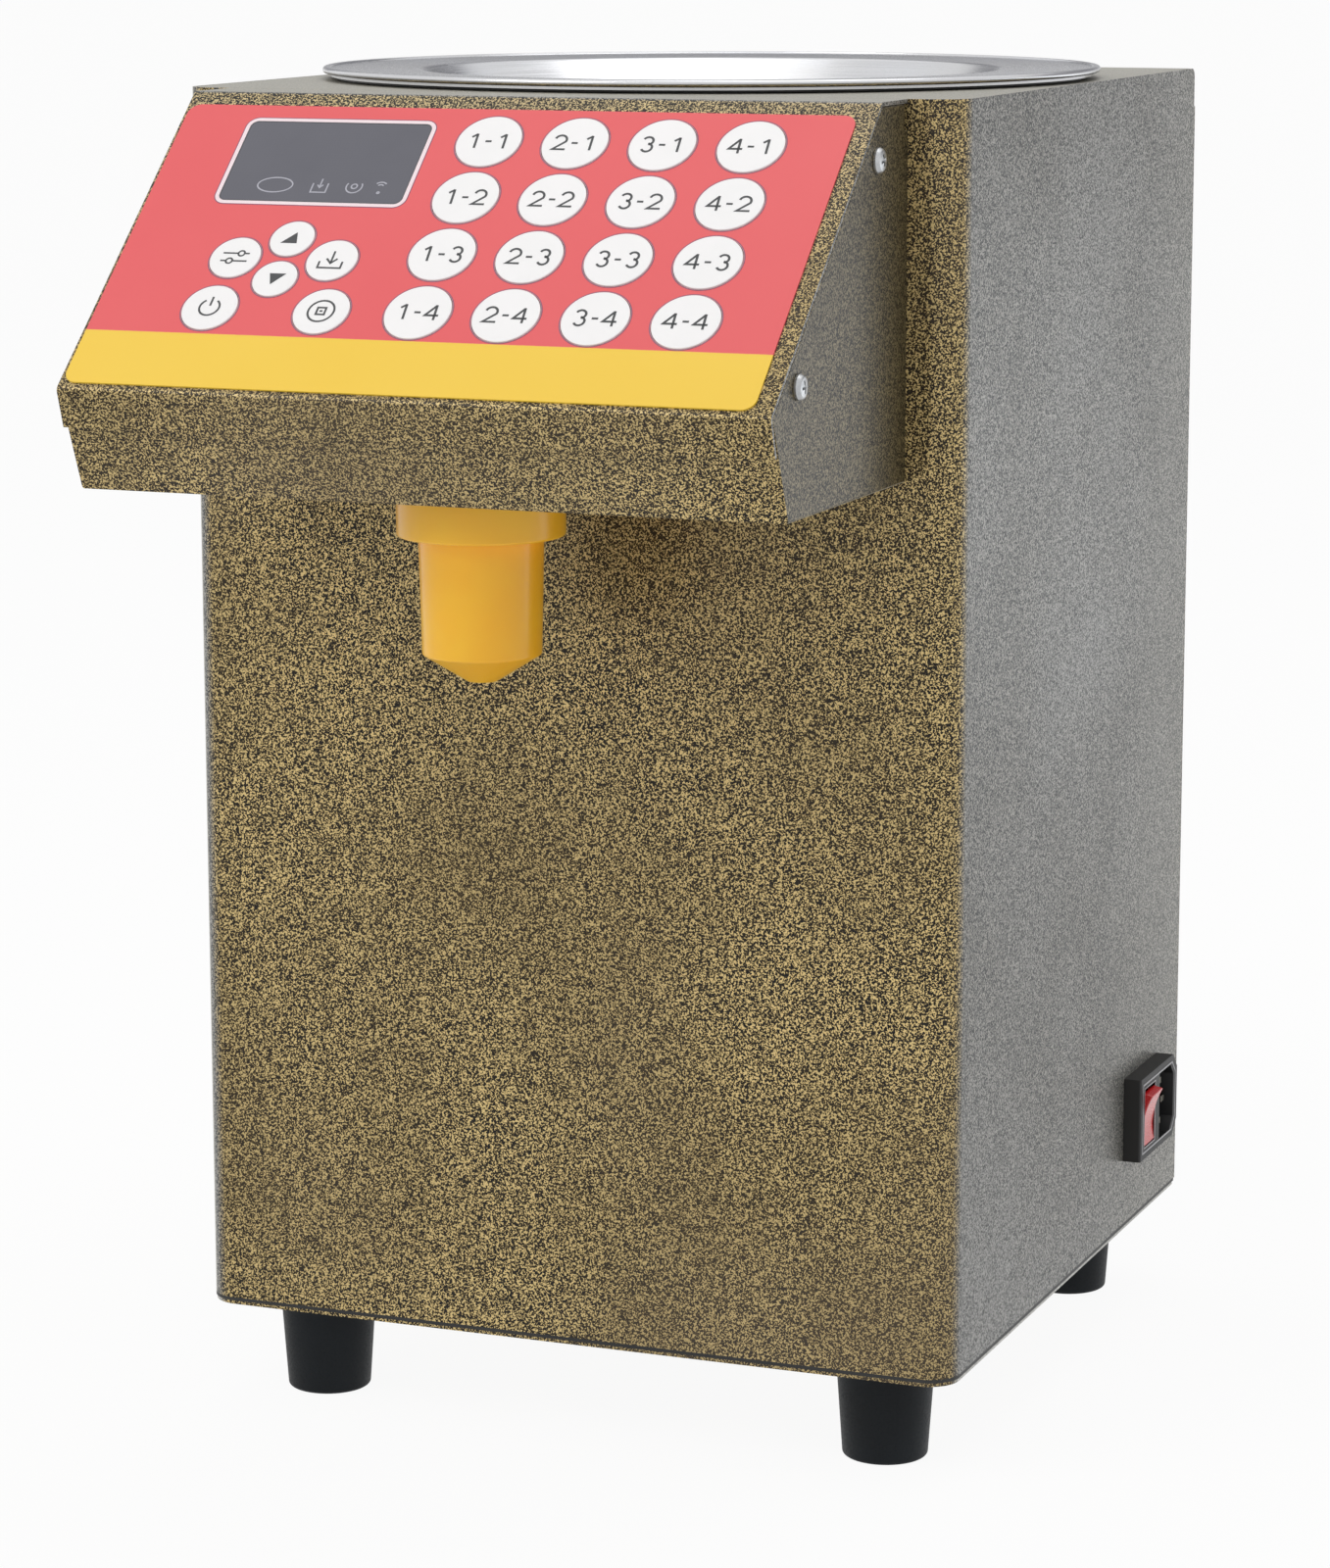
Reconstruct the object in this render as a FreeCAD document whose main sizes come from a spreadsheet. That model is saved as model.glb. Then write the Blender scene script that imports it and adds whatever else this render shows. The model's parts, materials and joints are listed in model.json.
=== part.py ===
import FreeCAD
import Part
import Sketcher
import math
import os
from types import SimpleNamespace

# Counter-top fructose dispenser: a painted sheet-steel body that holds a syrup tank and a gear
# pump, with a sloping keypad head in front, whose nozzle fills a cup stood beneath it.
# Millimetres. X to the right, Y to the back, Z up. The origin is the middle of the four feet, on
# the surface that they stand on.

SIZES = {
    # Body shell of folded sheet: front and two sides in one piece
    "sheet": 1.2,
    "shell_width": 250,
    "depth_less_than_width": 2,
    "shell_height": 382.8,
    "shell_corner": 10,
    "floor_flange": 40,
    "rear_flange": 14,
    "shell_low_bend": 1.0,
    "side_corner": 3,
    "duct_width": 80,
    "duct_height": 54,
    "duct_drop": 40,
    # Base plate and feet
    "base_sheet": 1.2,
    "base_inset": 0.3,
    "base_rear_lip": 15,
    "base_rear_corner": 2,
    "base_vent_length": 44,
    "base_vent_width": 4,
    "base_vent_pitch": 11,
    "base_vent_front": -36,
    "foot_height": 32,
    "foot_top_radius": 15.4,
    "foot_low_radius": 13.2,
    "foot_edge": 1.2,
    "foot_from_side": 30,
    "foot_from_front": 28,
    "foot_well_radius": 6.5,
    "foot_well_depth": 20,
    "foot_bolt_radius": 2.5,
    "foot_bolt_length": 21,
    "foot_head_radius": 4.6,
    "foot_head_height": 3,
    "foot_nut_radius": 4.6,
    "foot_nut_height": 4,
    "bolt_gap": 0.25,
    # Top plate, with a round opening that the tank hangs in
    "top_fit": 0.2,
    "top_flange": 14,
    "top_rear_lip": 12,
    "top_rear_bend": 3,
    # Rear cover
    "rear_low_gap": 0.8,
    "rear_top_gap": 0.5,
    "rear_vent_length": 60,
    "rear_vent_width": 4,
    "rear_vent_pitch": 10,
    "rear_vent_low": 80,
    "rear_vent_side": 42,
    "rear_screw_edge": 7,
    "rear_screw_low": 34,
    "rear_screw_pitch": 108,
    "rear_base_screw_side": 60,
    # Head: tray with its cheeks, and the folded cover over it
    "head_width": 217,
    "head_height": 110.5,
    "head_top_run": 22.5,
    "slope_length": 120.2,
    "slope_angle": 41.9,
    "lip_length": 12,
    "lip_lean": 17.9,
    "tray_floor_reach": 97.9,
    "tray_front_height": 24.5,
    "tray_lean": 22.6,
    "tray_edge": 0.8,
    "cheek_gap": 0.3,
    "cheek_notch_width": 3,
    "cheek_notch_height": 9,
    "cover_bend": 2.5,
    "lip_bend": 2,
    "cover_flange": 15,
    "cover_flange_start": 6,
    "cover_flange_end": 110,
    "tray_flange": 12,
    "tray_screw_low": 18,
    "tray_screw_high": 92,
    # Case screws, pan heads with a cross recess
    "screw_radius": 1.9,
    "screw_length": 5,
    "screw_head_radius": 3.75,
    "screw_head_height": 2.3,
    "screw_head_rim": 0.9,
    "screw_crown_radius": 2.4,
    "screw_recess_span": 4.4,
    "screw_recess_width": 0.9,
    "screw_recess_depth": 1.1,
    "screw_hole_gap": 0.2,
    "cheek_screw_high": 14,
    "cheek_screw_low": 100.3,
    "cheek_screw_depth": 9.1,
    # Printed overlay, display window and what lies under them
    "overlay_left_inset": 1.1,
    "overlay_right_inset": 5.5,
    "overlay_high": 6,
    "overlay_low": 117.8,
    "overlay_thickness": 0.5,
    "overlay_corner": 4,
    "window_left": 84.7,
    "window_right": 25.8,
    "window_high": 12.5,
    "window_low": 45.1,
    "window_corner": 2.5,
    "window_gap": 0.15,
    "window_flange": 1.5,
    "window_flange_thickness": 1,
    "board_drop": 10,
    "board_thickness": 1.6,
    "board_inset": 11.5,
    "board_high": 8,
    "board_low": 101,
    "standoff_inset": 5,
    "standoff_high": 14,
    "standoff_low": 95,
    "standoff_radius": 3,
    "switch_width": 6,
    "switch_height": 3.5,
    "plunger_radius": 1.75,
    "plunger_height": 1,
    "display_margin": 4,
    "display_gap": 0.3,
    "plug_length": 12,
    "plug_height": 6,
    # Keys
    "dose_key_radius": 10,
    "dose_key_left": -6.3,
    "dose_key_pitch": 26.95,
    "dose_key_high": 19.3,
    "dose_key_drop": 22.5,
    "arrow_key_radius": 6.8,
    "arrow_key_left": -54.9,
    "arrow_up_low": 59.9,
    "arrow_key_drop": 15.8,
    "side_key_radius": 7.8,
    "side_key_spread": 15.4,
    "side_key_low": 67.9,
    "mode_key_radius": 8.5,
    "mode_key_left": -71.3,
    "mode_key_right": -36,
    "mode_key_low": 87.7,
    "key_proud": 0.9,
    "key_edge": 0.3,
    "key_gap": 0.25,
    "key_seat_gap": 0.15,
    "key_flange": 0.8,
    "key_flange_thickness": 1,
    "key_stem_radius": 1.6,
    "key_stem_gap": 0.5,
    # Syrup tank, gasket, lid and outlet
    "lid_side_gap": 1.5,
    "opening_inset": 11.5,
    "gasket_inner_inset": 10,
    "gasket_outer_inset": 4,
    "gasket_thickness": 1,
    "tank_rim_inset": 2.5,
    "tank_inset": 19.5,
    "tank_sheet": 0.8,
    "tank_depth": 235,
    "tank_cone_drop": 8,
    "tank_flat_radius": 15,
    "tank_bottom_round": 9.5,
    "tank_seam_rise": 0.5,
    "tank_hole_radius": 4,
    "lid_sheet": 0.8,
    "lid_gap": 0.2,
    "lid_bead_width": 2.4,
    "lid_bead_height": 2,
    "lid_bead_round": 0.85,
    "lid_land_rise": 0.6,
    "lid_land_drop": 0.4,
    "lid_well_inset": 31.5,
    "lid_well_slant": 9,
    "lid_well_depth": 9,
    "lid_well_round": 6,
    "outlet_flange_radius": 14,
    "outlet_flange_thickness": 2,
    "outlet_neck_radius": 8,
    "outlet_neck_length": 8,
    "outlet_barb_radius": 5,
    "outlet_barb_length": 16,
    "outlet_bore_radius": 3.6,
    # Gear pump, its bracket and motor
    "pump_axis_height": 85,
    "pump_front": -8,
    "pump_length": 24,
    "pump_half_width": 30,
    "pump_half_height": 22,
    "pump_corner": 6,
    "pump_cover_thickness": 5,
    "gear_pitch_radius": 12,
    "gear_root_radius": 9.4,
    "gear_tip_radius": 14,
    "gear_tooth_root": 4,
    "gear_tooth_tip": 1.8,
    "gear_length": 14,
    "gear_end_gap": 0.2,
    "gear_tip_gap": 0.15,
    "shaft_radius": 3,
    "shaft_gap": 0.05,
    "shaft_front_length": 4,
    "driven_shaft_length": 7,
    "drive_shaft_reach": 12,
    "pump_inlet_bore": 3.6,
    "pump_inlet_height": 16,
    "pump_outlet_bore": 2,
    "pump_outlet_drop": 7,
    "pump_outlet_length": 14,
    "bracket_sheet": 2,
    "bracket_half_width": 36,
    "bracket_foot_length": 50,
    "bracket_screw_side": 29,
    "bracket_screw_front": 14,
    "bracket_screw_pitch": 26,
    "motor_radius": 27,
    "motor_length": 56,
    "motor_boss_radius": 21,
    "motor_boss_length": 5,
    "motor_tab_length": 6,
    "motor_tab_width": 5,
    "motor_tab_thickness": 0.8,
    "motor_tab_spread": 9,
    # Hoses and the keypad's cable
    "suction_hose_radius": 7.5,
    "delivery_hose_radius": 5,
    "hose_fit": 0.05,
    "barb_reach": 2,
    "delivery_wall_gap": 4.4,
    "delivery_low_bend": 58,
    "delivery_high_bend": 33,
    "cable_radius": 2.2,
    "cable_wall_gap": 8.8,
    "cable_rise": 44,
    "cable_high": 322,
    "cable_duct_reach": 6,
    "cable_turn_depth": 40,
    # Nozzle
    "nozzle_reach": 59.3,
    "collar_radius": 24.5,
    "collar_height": 13.1,
    "collar_roof": 4,
    "collar_edge": 0.8,
    "thread_gap": 0.1,
    "cup_top_radius": 18.2,
    "cup_low_radius": 17.4,
    "cup_height": 34.2,
    "cup_cone_drop": 8,
    "cup_tip_radius": 4.5,
    "cup_neck_radius": 17,
    "cup_neck_height": 8,
    "cup_wall": 2.3,
    "cup_gap": 0.3,
    "cup_outlet_radius": 3,
    "stem_radius": 7,
    "stem_bore_radius": 3,
    "stem_low_length": 25.5,
    "stem_flange_radius": 15,
    "stem_flange_thickness": 3,
    "stem_hex_radius": 11,
    "stem_hex_height": 8,
    "stem_top_radius": 6.5,
    "stem_top_margin": 7,
    "stem_board_gap": 2.5,
    "delivery_barb_radius": 3.1,
    "delivery_barb_length": 26,
    "valve_radius": 6,
    "valve_thickness": 3,
    "valve_gap": 0.2,
    "valve_guide_radius": 2.6,
    "valve_guide_length": 10,
    "spring_radius": 4.4,
    "spring_wire_radius": 0.45,
    "spring_end_gap": 0.15,
    # Power inlet with its rocker switch, through the right side
    "inlet_height": 70.5,
    "inlet_from_back": 43,
    "inlet_length": 44,
    "inlet_tall": 28.4,
    "inlet_proud": 6,
    "inlet_chamfer": 5,
    "inlet_edge": 0.8,
    "inlet_shoulder": 1.3,
    "inlet_depth": 24,
    "socket_back_wall": 4.5,
    "socket_length": 17,
    "socket_tall": 24,
    "socket_chamfer": 4.5,
    "socket_depth": 15,
    "pin_wide": 4,
    "pin_thick": 2,
    "pin_tip_gap": 2,
    "pin_tail": 5,
    "pin_spread": 7,
    "pin_stagger": 2,
    "rocker_front_wall": 3.8,
    "rocker_well_width": 13.4,
    "rocker_well_tall": 21,
    "rocker_well_depth": 13,
    "rocker_sink": 4.4,
    "rocker_width": 12.6,
    "rocker_tall": 18.4,
    "rocker_crest": 5.4,
    "rocker_valley": 2.4,
    "rocker_root": 4,
    "rocker_root_tall": 10,
    "rocker_heel": 2.6,
    "rocker_tilt": 9,
    "trunnion_radius": 1.2,
    "trunnion_length": 1.2,
    "trunnion_end_gap": 0.3,
    # Power supply and control board on the base
    "supply_side_gap": 8,
    "supply_width": 68,
    "supply_middle": 5,
    "supply_length": 130,
    "supply_height": 38,
    "supply_terminal_length": 14,
    "supply_terminal_height": 12,
    "control_left": 42,
    "control_width": 40,
    "control_front": 75,
    "control_length": 120,
    "control_lift": 11.8,
    "control_standoff_inset": 4,
    "relay_length": 19,
    "relay_gap": 4,
    "relay_width": 15,
    "relay_height": 15,
    "chip_length": 14,
    "chip_width": 10,
    "chip_height": 2,
    "overrun": 5,
}
KEY_COLUMNS = 4
KEY_ROWS = 4
GEAR_TEETH = 10
REAR_VENTS = 7
BASE_VENTS = 7
SPRING_TURNS = 6
CABLE_BEND_SHARE = 0.45

os.makedirs("parts", exist_ok=True)
doc = FreeCAD.newDocument("fructose_dispenser")
sheet = doc.addObject("Spreadsheet::Sheet", "Sizes")

AXES = {"X": FreeCAD.Vector(1, 0, 0), "Y": FreeCAD.Vector(0, 1, 0), "Z": FreeCAD.Vector(0, 0, 1)}
QUARTER_TURN = 90
FULL_TURN = 360
CLOSE = 0.001


class Size:
    """A number with its formula in the sheet's names, so that sums of sizes stay bound to the sheet."""

    def __init__(self, number, formula):
        self.number = number
        self.formula = formula

    def joined(self, sign, other, number):
        return Size(number, f"({self.formula} {sign} {other.formula})")

    def __add__(self, other):
        other = sized(other)
        return self.joined("+", other, self.number + other.number)

    def __radd__(self, other):
        return sized(other) + self

    def __sub__(self, other):
        other = sized(other)
        return self.joined("-", other, self.number - other.number)

    def __rsub__(self, other):
        return sized(other) - self

    def __mul__(self, other):
        other = sized(other)
        return self.joined("*", other, self.number * other.number)

    def __rmul__(self, other):
        return sized(other) * self

    def __truediv__(self, other):
        other = sized(other)
        return self.joined("/", other, self.number / other.number)

    def __neg__(self):
        return Size(-self.number, f"(-{self.formula})")


def sized(thing):
    return thing if isinstance(thing, Size) else Size(float(thing), f"{float(thing)}")


def sine(angle):
    return Size(math.sin(math.radians(angle.number)), f"sin({angle.formula})")


def cosine(angle):
    return Size(math.cos(math.radians(angle.number)), f"cos({angle.formula})")


def tangent(angle):
    return Size(math.tan(math.radians(angle.number)), f"tan({angle.formula})")


s = SimpleNamespace()
for row, (alias, number) in enumerate(SIZES.items(), start=1):
    sheet.set(f"A{row}", alias)
    sheet.set(f"B{row}", str(number))
    sheet.setAlias(f"B{row}", alias)
    setattr(s, alias, Size(float(number), f"Sizes.{alias}"))
doc.recompute()


def bind(thing, **sizes):
    for name, size in sizes.items():
        thing.setExpression(name, sized(size).formula)


def place(thing, x=0, y=0, z=0, axis=None, angle=0):
    """Puts a thing at x, y, z, turned about one axis."""
    if axis:
        turn = FreeCAD.Rotation(AXES[axis], sized(angle).number)
        thing.Placement = FreeCAD.Placement(FreeCAD.Vector(), turn)
        thing.setExpression("Placement.Rotation.Angle", sized(angle).formula)
    for letter, size in zip("xyz", (x, y, z)):
        thing.setExpression(f"Placement.Base.{letter}", sized(size).formula)


def about(middle, half):
    return (middle - half, middle + half)


class Piece:
    """One body of the document, and short names for the features that it is built from."""

    def __init__(self, name):
        self.body = doc.addObject("PartDesign::Body", name)
        self.body.Label = name

    def feature(self, kind):
        return self.body.newObject(f"PartDesign::{kind}", f"{self.body.Name}_{kind}")

    def box(self, x, y, z, cut=False):
        made = self.feature("SubtractiveBox" if cut else "AdditiveBox")
        bind(made, Length=x[1] - x[0], Width=y[1] - y[0], Height=z[1] - z[0])
        place(made, x[0], y[0], z[0])
        return made

    def cylinder(self, radius, x=0, y=0, z=0, length=0, axis="Z", cut=False):
        made = self.feature("SubtractiveCylinder" if cut else "AdditiveCylinder")
        bind(made, Radius=radius, Height=length)
        turned_about = {"X": "Y", "Y": "X", "Z": None}[axis]
        angle = {"X": QUARTER_TURN, "Y": -QUARTER_TURN, "Z": 0}[axis]
        place(made, x, y, z, turned_about, angle)
        return made

    def outline(self, role, points):
        """A closed sketch on one of the body's planes, with every corner placed by its formula."""
        sketch = self.body.newObject("Sketcher::SketchObject", f"{self.body.Name}_outline")
        plane = [p for p in self.body.Origin.OriginFeatures if p.Role == role][0]
        sketch.AttachmentSupport = (plane, [""])
        sketch.MapMode = "FlatFace"
        corners = [(sized(a), sized(b)) for a, b in points]
        spots = [FreeCAD.Vector(a.number, b.number, 0) for a, b in corners]
        for here, after in zip(spots, spots[1:] + spots[:1]):
            sketch.addGeometry(Part.LineSegment(here, after))
        for i in range(len(spots)):
            sketch.addConstraint(Sketcher.Constraint("Coincident", i, 2, (i + 1) % len(spots), 1))
        for i, corner in enumerate(corners):
            for kind, size in zip(("DistanceX", "DistanceY"), corner):
                index = sketch.addConstraint(Sketcher.Constraint(kind, -1, 1, i, 1, size.number))
                sketch.setExpression(f"Constraints[{index}]", size.formula)
        return sketch

    def slab(self, points, width, role="YZ_Plane", cut=False):
        """An outline thickened equally to both sides of its plane."""
        sketch = self.outline(role, points)
        made = self.feature("Pocket" if cut else "Pad")
        made.Profile = sketch
        made.Midplane = True
        bind(made, Length=width)
        return made

    def turn(self, points, cut=False):
        """An outline of radius and height pairs, turned about Z."""
        sketch = self.outline("XZ_Plane", points)
        made = self.feature("Groove" if cut else "Revolution")
        made.Profile = sketch
        made.ReferenceAxis = (sketch, ["V_Axis"])
        made.Angle = FULL_TURN
        return made

    def edges(self, wanted):
        doc.recompute()
        tip = self.body.Tip
        return (tip, [f"Edge{i}" for i, edge in enumerate(tip.Shape.Edges, start=1) if wanted(edge)])

    def round(self, radius, wanted):
        base = self.edges(wanted)
        made = self.feature("Fillet")
        made.Base = base
        bind(made, Radius=radius)
        return made

    def chamfer(self, size, wanted):
        base = self.edges(wanted)
        made = self.feature("Chamfer")
        made.Base = base
        bind(made, Size=size)
        return made


def line_at(axis, **spot):
    """Finds straight edges along an axis that run through a spot, such as x and y for a Z edge."""

    def wanted(edge):
        if not isinstance(edge.Curve, Part.Line) or abs(edge.Curve.Direction.dot(AXES[axis])) < 1 - CLOSE:
            return False
        middle = edge.valueAt((edge.FirstParameter + edge.LastParameter) / 2)
        return all(
            any(abs(getattr(middle, letter) - sized(size).number) < CLOSE for size in sizes)
            for letter, sizes in spot.items()
        )

    return wanted


def ring_at(radius, *heights):
    """Finds round edges of one radius at one of the given heights."""

    def wanted(edge):
        if not isinstance(edge.Curve, Part.Circle):
            return False
        return abs(edge.Curve.Radius - sized(radius).number) < CLOSE and any(
            abs(edge.Curve.Center.z - sized(height).number) < CLOSE for height in heights
        )

    return wanted


nodes = []


def node(thing):
    nodes.append(thing.body if isinstance(thing, Piece) else thing)
    return thing


def group(name, members):
    """Separate solids that share a node."""
    made = doc.addObject("Part::Compound", name)
    made.Label = name
    made.Links = [member.body if isinstance(member, Piece) else member for member in members]
    return node(made)


# Levels and faces that several pieces share
half_width = s.shell_width / 2
shell_depth = s.shell_width - s.depth_less_than_width
front = -shell_depth / 2
back = shell_depth / 2
rear_seat = back - s.sheet
base_top = s.foot_height + s.base_sheet
floor_top = base_top + s.sheet
shell_top = base_top + s.shell_height
head_half = s.head_width / 2
tray_low = shell_top - s.head_height
slope_top = front - s.head_top_run
slope_run = s.slope_length * cosine(s.slope_angle)
slope_drop = s.slope_length * sine(s.slope_angle)
lip_y = slope_top - slope_run
lip_z = shell_top - slope_drop
foot_x = half_width - s.foot_from_side
foot_y = back - s.foot_from_front
foot_places = [(x, y) for x in (-foot_x, foot_x) for y in (-foot_y, foot_y)]
bolt_hole = s.foot_bolt_radius + s.bolt_gap
screw_hole = s.screw_radius + s.screw_hole_gap
nozzle_y = front - s.nozzle_reach
inlet_y = back - s.inlet_from_back
lid_radius = half_width - s.lid_side_gap
tank_radius = lid_radius - s.tank_inset
board_side = head_half - s.board_inset


def down_slope(down, out=0):
    """The y and z of a point so far down the slope, and so far out of its face."""
    y = slope_top - cosine(s.slope_angle) * down - sine(s.slope_angle) * out
    z = shell_top - sine(s.slope_angle) * down + cosine(s.slope_angle) * out
    return y, z


# The stem of the nozzle ends close under the sloping key board, and the delivery hose just below
board_depth = s.board_drop + s.board_thickness
board_fall = tangent(s.slope_angle) * (slope_top - nozzle_y + s.stem_top_radius)
stem_top = shell_top - board_fall - board_depth / cosine(s.slope_angle) - s.stem_board_gap
delivery_height = stem_top - s.stem_top_margin

# Screw places: x, y, z, then the axis and angle that turn the head to face its way
rear_screw_x = half_width - s.rear_screw_edge
rear_screw_z = [base_top + s.rear_screw_low + s.rear_screw_pitch * i for i in range(4)]
tray_screw_x = head_half - s.sheet - s.tray_flange / 2
tray_screw_z = [tray_low + s.tray_screw_low, tray_low + s.tray_screw_high]
cheek_screw_spots = [down_slope(v, -s.cheek_screw_depth) for v in (s.cheek_screw_high, s.cheek_screw_low)]
base_screw_z = base_top + s.base_rear_lip / 2
bracket_y = s.pump_front + s.pump_length
bracket_screw_y = [bracket_y + s.bracket_screw_front + s.bracket_screw_pitch * i for i in range(2)]
bracket_screw_x = (-s.bracket_screw_side, s.bracket_screw_side)


def base_plate():
    piece = Piece("base_plate")
    x = about(0, half_width - s.base_inset)
    y = (front + s.base_inset, back - s.base_inset)
    piece.box(x, y, (s.foot_height, base_top))
    piece.round(s.shell_corner - s.base_inset, line_at("Z", x=x, y=y[:1]))
    piece.round(s.base_rear_corner, line_at("Z", x=x, y=y[1:]))
    lip_half = half_width - s.rear_flange - s.base_rear_corner
    lip_span = (rear_seat - s.base_sheet, rear_seat)
    piece.box(about(0, lip_half), lip_span, (base_top, base_top + s.base_rear_lip))
    below = s.foot_height - s.overrun
    through = s.base_sheet + s.overrun * 2
    for x, y in foot_places:
        piece.cylinder(bolt_hole, x, y, below, through, cut=True)
    for x in bracket_screw_x:
        for y in bracket_screw_y:
            piece.cylinder(screw_hole, x, y, below, through, cut=True)
    for x in about(0, s.rear_base_screw_side):
        piece.cylinder(screw_hole, x, rear_seat - s.overrun, base_screw_z, s.overrun * 2, "Y", cut=True)
    for i in range(BASE_VENTS):
        middle = s.base_vent_front - s.base_vent_pitch * i
        y = about(middle, s.base_vent_width / 2)
        piece.box(about(0, s.base_vent_length / 2), y, about(s.foot_height, s.overrun), cut=True)
    return node(piece)


def body_shell():
    """Front and sides with flanges turned in at the floor and at the back."""
    piece = Piece("body_shell")
    sides = about(0, half_width)
    inner = about(0, half_width - s.sheet)
    piece.box(sides, (front, rear_seat), (base_top, shell_top))
    hollow = (front + s.sheet, rear_seat - s.sheet)
    piece.box(inner, hollow, (floor_top, shell_top + s.overrun), cut=True)
    piece.round(s.shell_corner - s.sheet, line_at("Z", x=inner, y=[front + s.sheet]))
    piece.round(s.shell_corner, line_at("Z", x=sides, y=[front]))
    opening = about(0, half_width - s.rear_flange)
    piece.box(opening, (back - s.overrun, back), (base_top - s.overrun, shell_top + s.overrun), cut=True)
    well = about(0, half_width - s.floor_flange)
    piece.box(well, (front + s.floor_flange, back), (base_top - s.overrun, floor_top + s.overrun), cut=True)
    rear_top = (shell_top - s.sheet - s.top_fit, shell_top + s.overrun)
    piece.box(inner, (rear_seat - s.sheet, back), rear_top, cut=True)
    piece.round(s.side_corner, line_at("X", y=[rear_seat], z=[shell_top]))
    low_edges = line_at("X", y=[front], z=[base_top])
    piece.round(s.shell_low_bend, low_edges)
    duct = (shell_top - s.duct_drop - s.duct_height, shell_top - s.duct_drop)
    piece.box(about(0, s.duct_width / 2), about(front, s.overrun), duct, cut=True)
    body_half = s.inlet_length / 2 - s.inlet_shoulder + s.window_gap
    body_tall = s.inlet_tall / 2 - s.inlet_shoulder + s.window_gap
    inlet_cut = (about(half_width, s.overrun), about(inlet_y, body_half), about(s.inlet_height, body_tall))
    piece.box(*inlet_cut, cut=True)
    for x, y in foot_places:
        piece.cylinder(bolt_hole, x, y, base_top - s.overrun, s.overrun * 2, cut=True)
    for x in (-rear_screw_x, rear_screw_x):
        for z in rear_screw_z:
            piece.cylinder(screw_hole, x, rear_seat - s.overrun, z, s.overrun * 2, "Y", cut=True)
    for x in (-tray_screw_x, tray_screw_x):
        for z in tray_screw_z:
            piece.cylinder(screw_hole, x, front - s.overrun, z, s.overrun * 2, "Y", cut=True)
    return node(piece)


def top_plate():
    piece = Piece("top_plate")
    half = half_width - s.sheet - s.top_fit
    ahead = front + s.sheet + s.top_fit
    level = (shell_top - s.sheet, shell_top)
    piece.box(about(0, half), (ahead, back), level)
    flange_z = (shell_top - s.top_flange, shell_top)
    behind = rear_seat - s.sheet - s.top_fit
    inset = s.shell_corner
    for x in ((-half, -half + s.sheet), (half - s.sheet, half)):
        piece.box(x, (ahead + inset, behind), flange_z)
    piece.box(about(0, half - inset), (ahead, ahead + s.sheet), flange_z)
    piece.box(about(0, half), (rear_seat, back), (shell_top - s.top_rear_lip, shell_top))
    piece.round(s.shell_corner - s.sheet - s.top_fit, line_at("Z", x=about(0, half), y=[ahead]))
    piece.round(s.top_rear_bend, line_at("X", y=[back], z=[shell_top]))
    piece.cylinder(lid_radius - s.opening_inset, 0, 0, shell_top - s.overrun, s.overrun * 2, cut=True)
    return node(piece)


def rear_cover():
    piece = Piece("rear_cover")
    low = base_top + s.rear_low_gap
    high = shell_top - s.top_rear_lip - s.rear_top_gap
    piece.box(about(0, half_width), (rear_seat, back), (low, high))
    through = {"y": rear_seat - s.overrun, "length": s.overrun * 2, "axis": "Y", "cut": True}
    for x in (-rear_screw_x, rear_screw_x):
        for z in rear_screw_z:
            piece.cylinder(screw_hole, x, z=z, **through)
    for x in about(0, s.rear_base_screw_side):
        piece.cylinder(screw_hole, x, z=base_screw_z, **through)
    for middle in about(0, s.rear_vent_side):
        for i in range(REAR_VENTS):
            z = base_top + s.rear_vent_low + s.rear_vent_pitch * i
            vent = about(z, s.rear_vent_width / 2)
            piece.box(about(middle, s.rear_vent_length / 2), about(back, s.overrun), vent, cut=True)
    return node(piece)


def rubber_feet():
    feet = []
    for i, (x, y) in enumerate(foot_places):
        piece = Piece(f"rubber_foot_{i}")
        piece.turn(
            [
                (s.foot_well_radius, 0),
                (s.foot_low_radius, 0),
                (s.foot_top_radius, s.foot_height),
                (bolt_hole, s.foot_height),
                (bolt_hole, s.foot_well_depth),
                (s.foot_well_radius, s.foot_well_depth),
            ]
        )
        piece.round(s.foot_edge, ring_at(s.foot_low_radius, 0))
        place(piece.body, x, y)
        feet.append(piece)
    return group("rubber_feet", feet)


def foot_bolts():
    """A bolt up through each foot, the base and the shell's floor flange, with its nut."""
    made = []
    head_low = s.foot_well_depth - s.foot_head_height
    for i, (x, y) in enumerate(foot_places):
        bolt = Piece(f"foot_bolt_{i}")
        tip = s.foot_well_depth + s.foot_bolt_length
        bolt.turn(
            [
                (0, head_low),
                (s.foot_head_radius, head_low),
                (s.foot_head_radius, s.foot_well_depth),
                (s.foot_bolt_radius, s.foot_well_depth),
                (s.foot_bolt_radius, tip),
                (0, tip),
            ]
        )
        place(bolt.body, x, y)
        block = doc.addObject("Part::Prism", f"foot_nut_block_{i}")
        block.Polygon = 6
        bind(block, Circumradius=s.foot_nut_radius, Height=s.foot_nut_height)
        place(block, x, y, floor_top)
        bore = doc.addObject("Part::Cylinder", f"foot_nut_bore_{i}")
        bind(bore, Radius=s.foot_bolt_radius + s.shaft_gap, Height=s.foot_nut_height + s.overrun * 2)
        place(bore, x, y, floor_top - s.overrun)
        nut = doc.addObject("Part::Cut", f"foot_nut_{i}")
        nut.Base = block
        nut.Tool = bore
        made += [bolt, nut]
    return group("foot_bolts", made)


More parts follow.
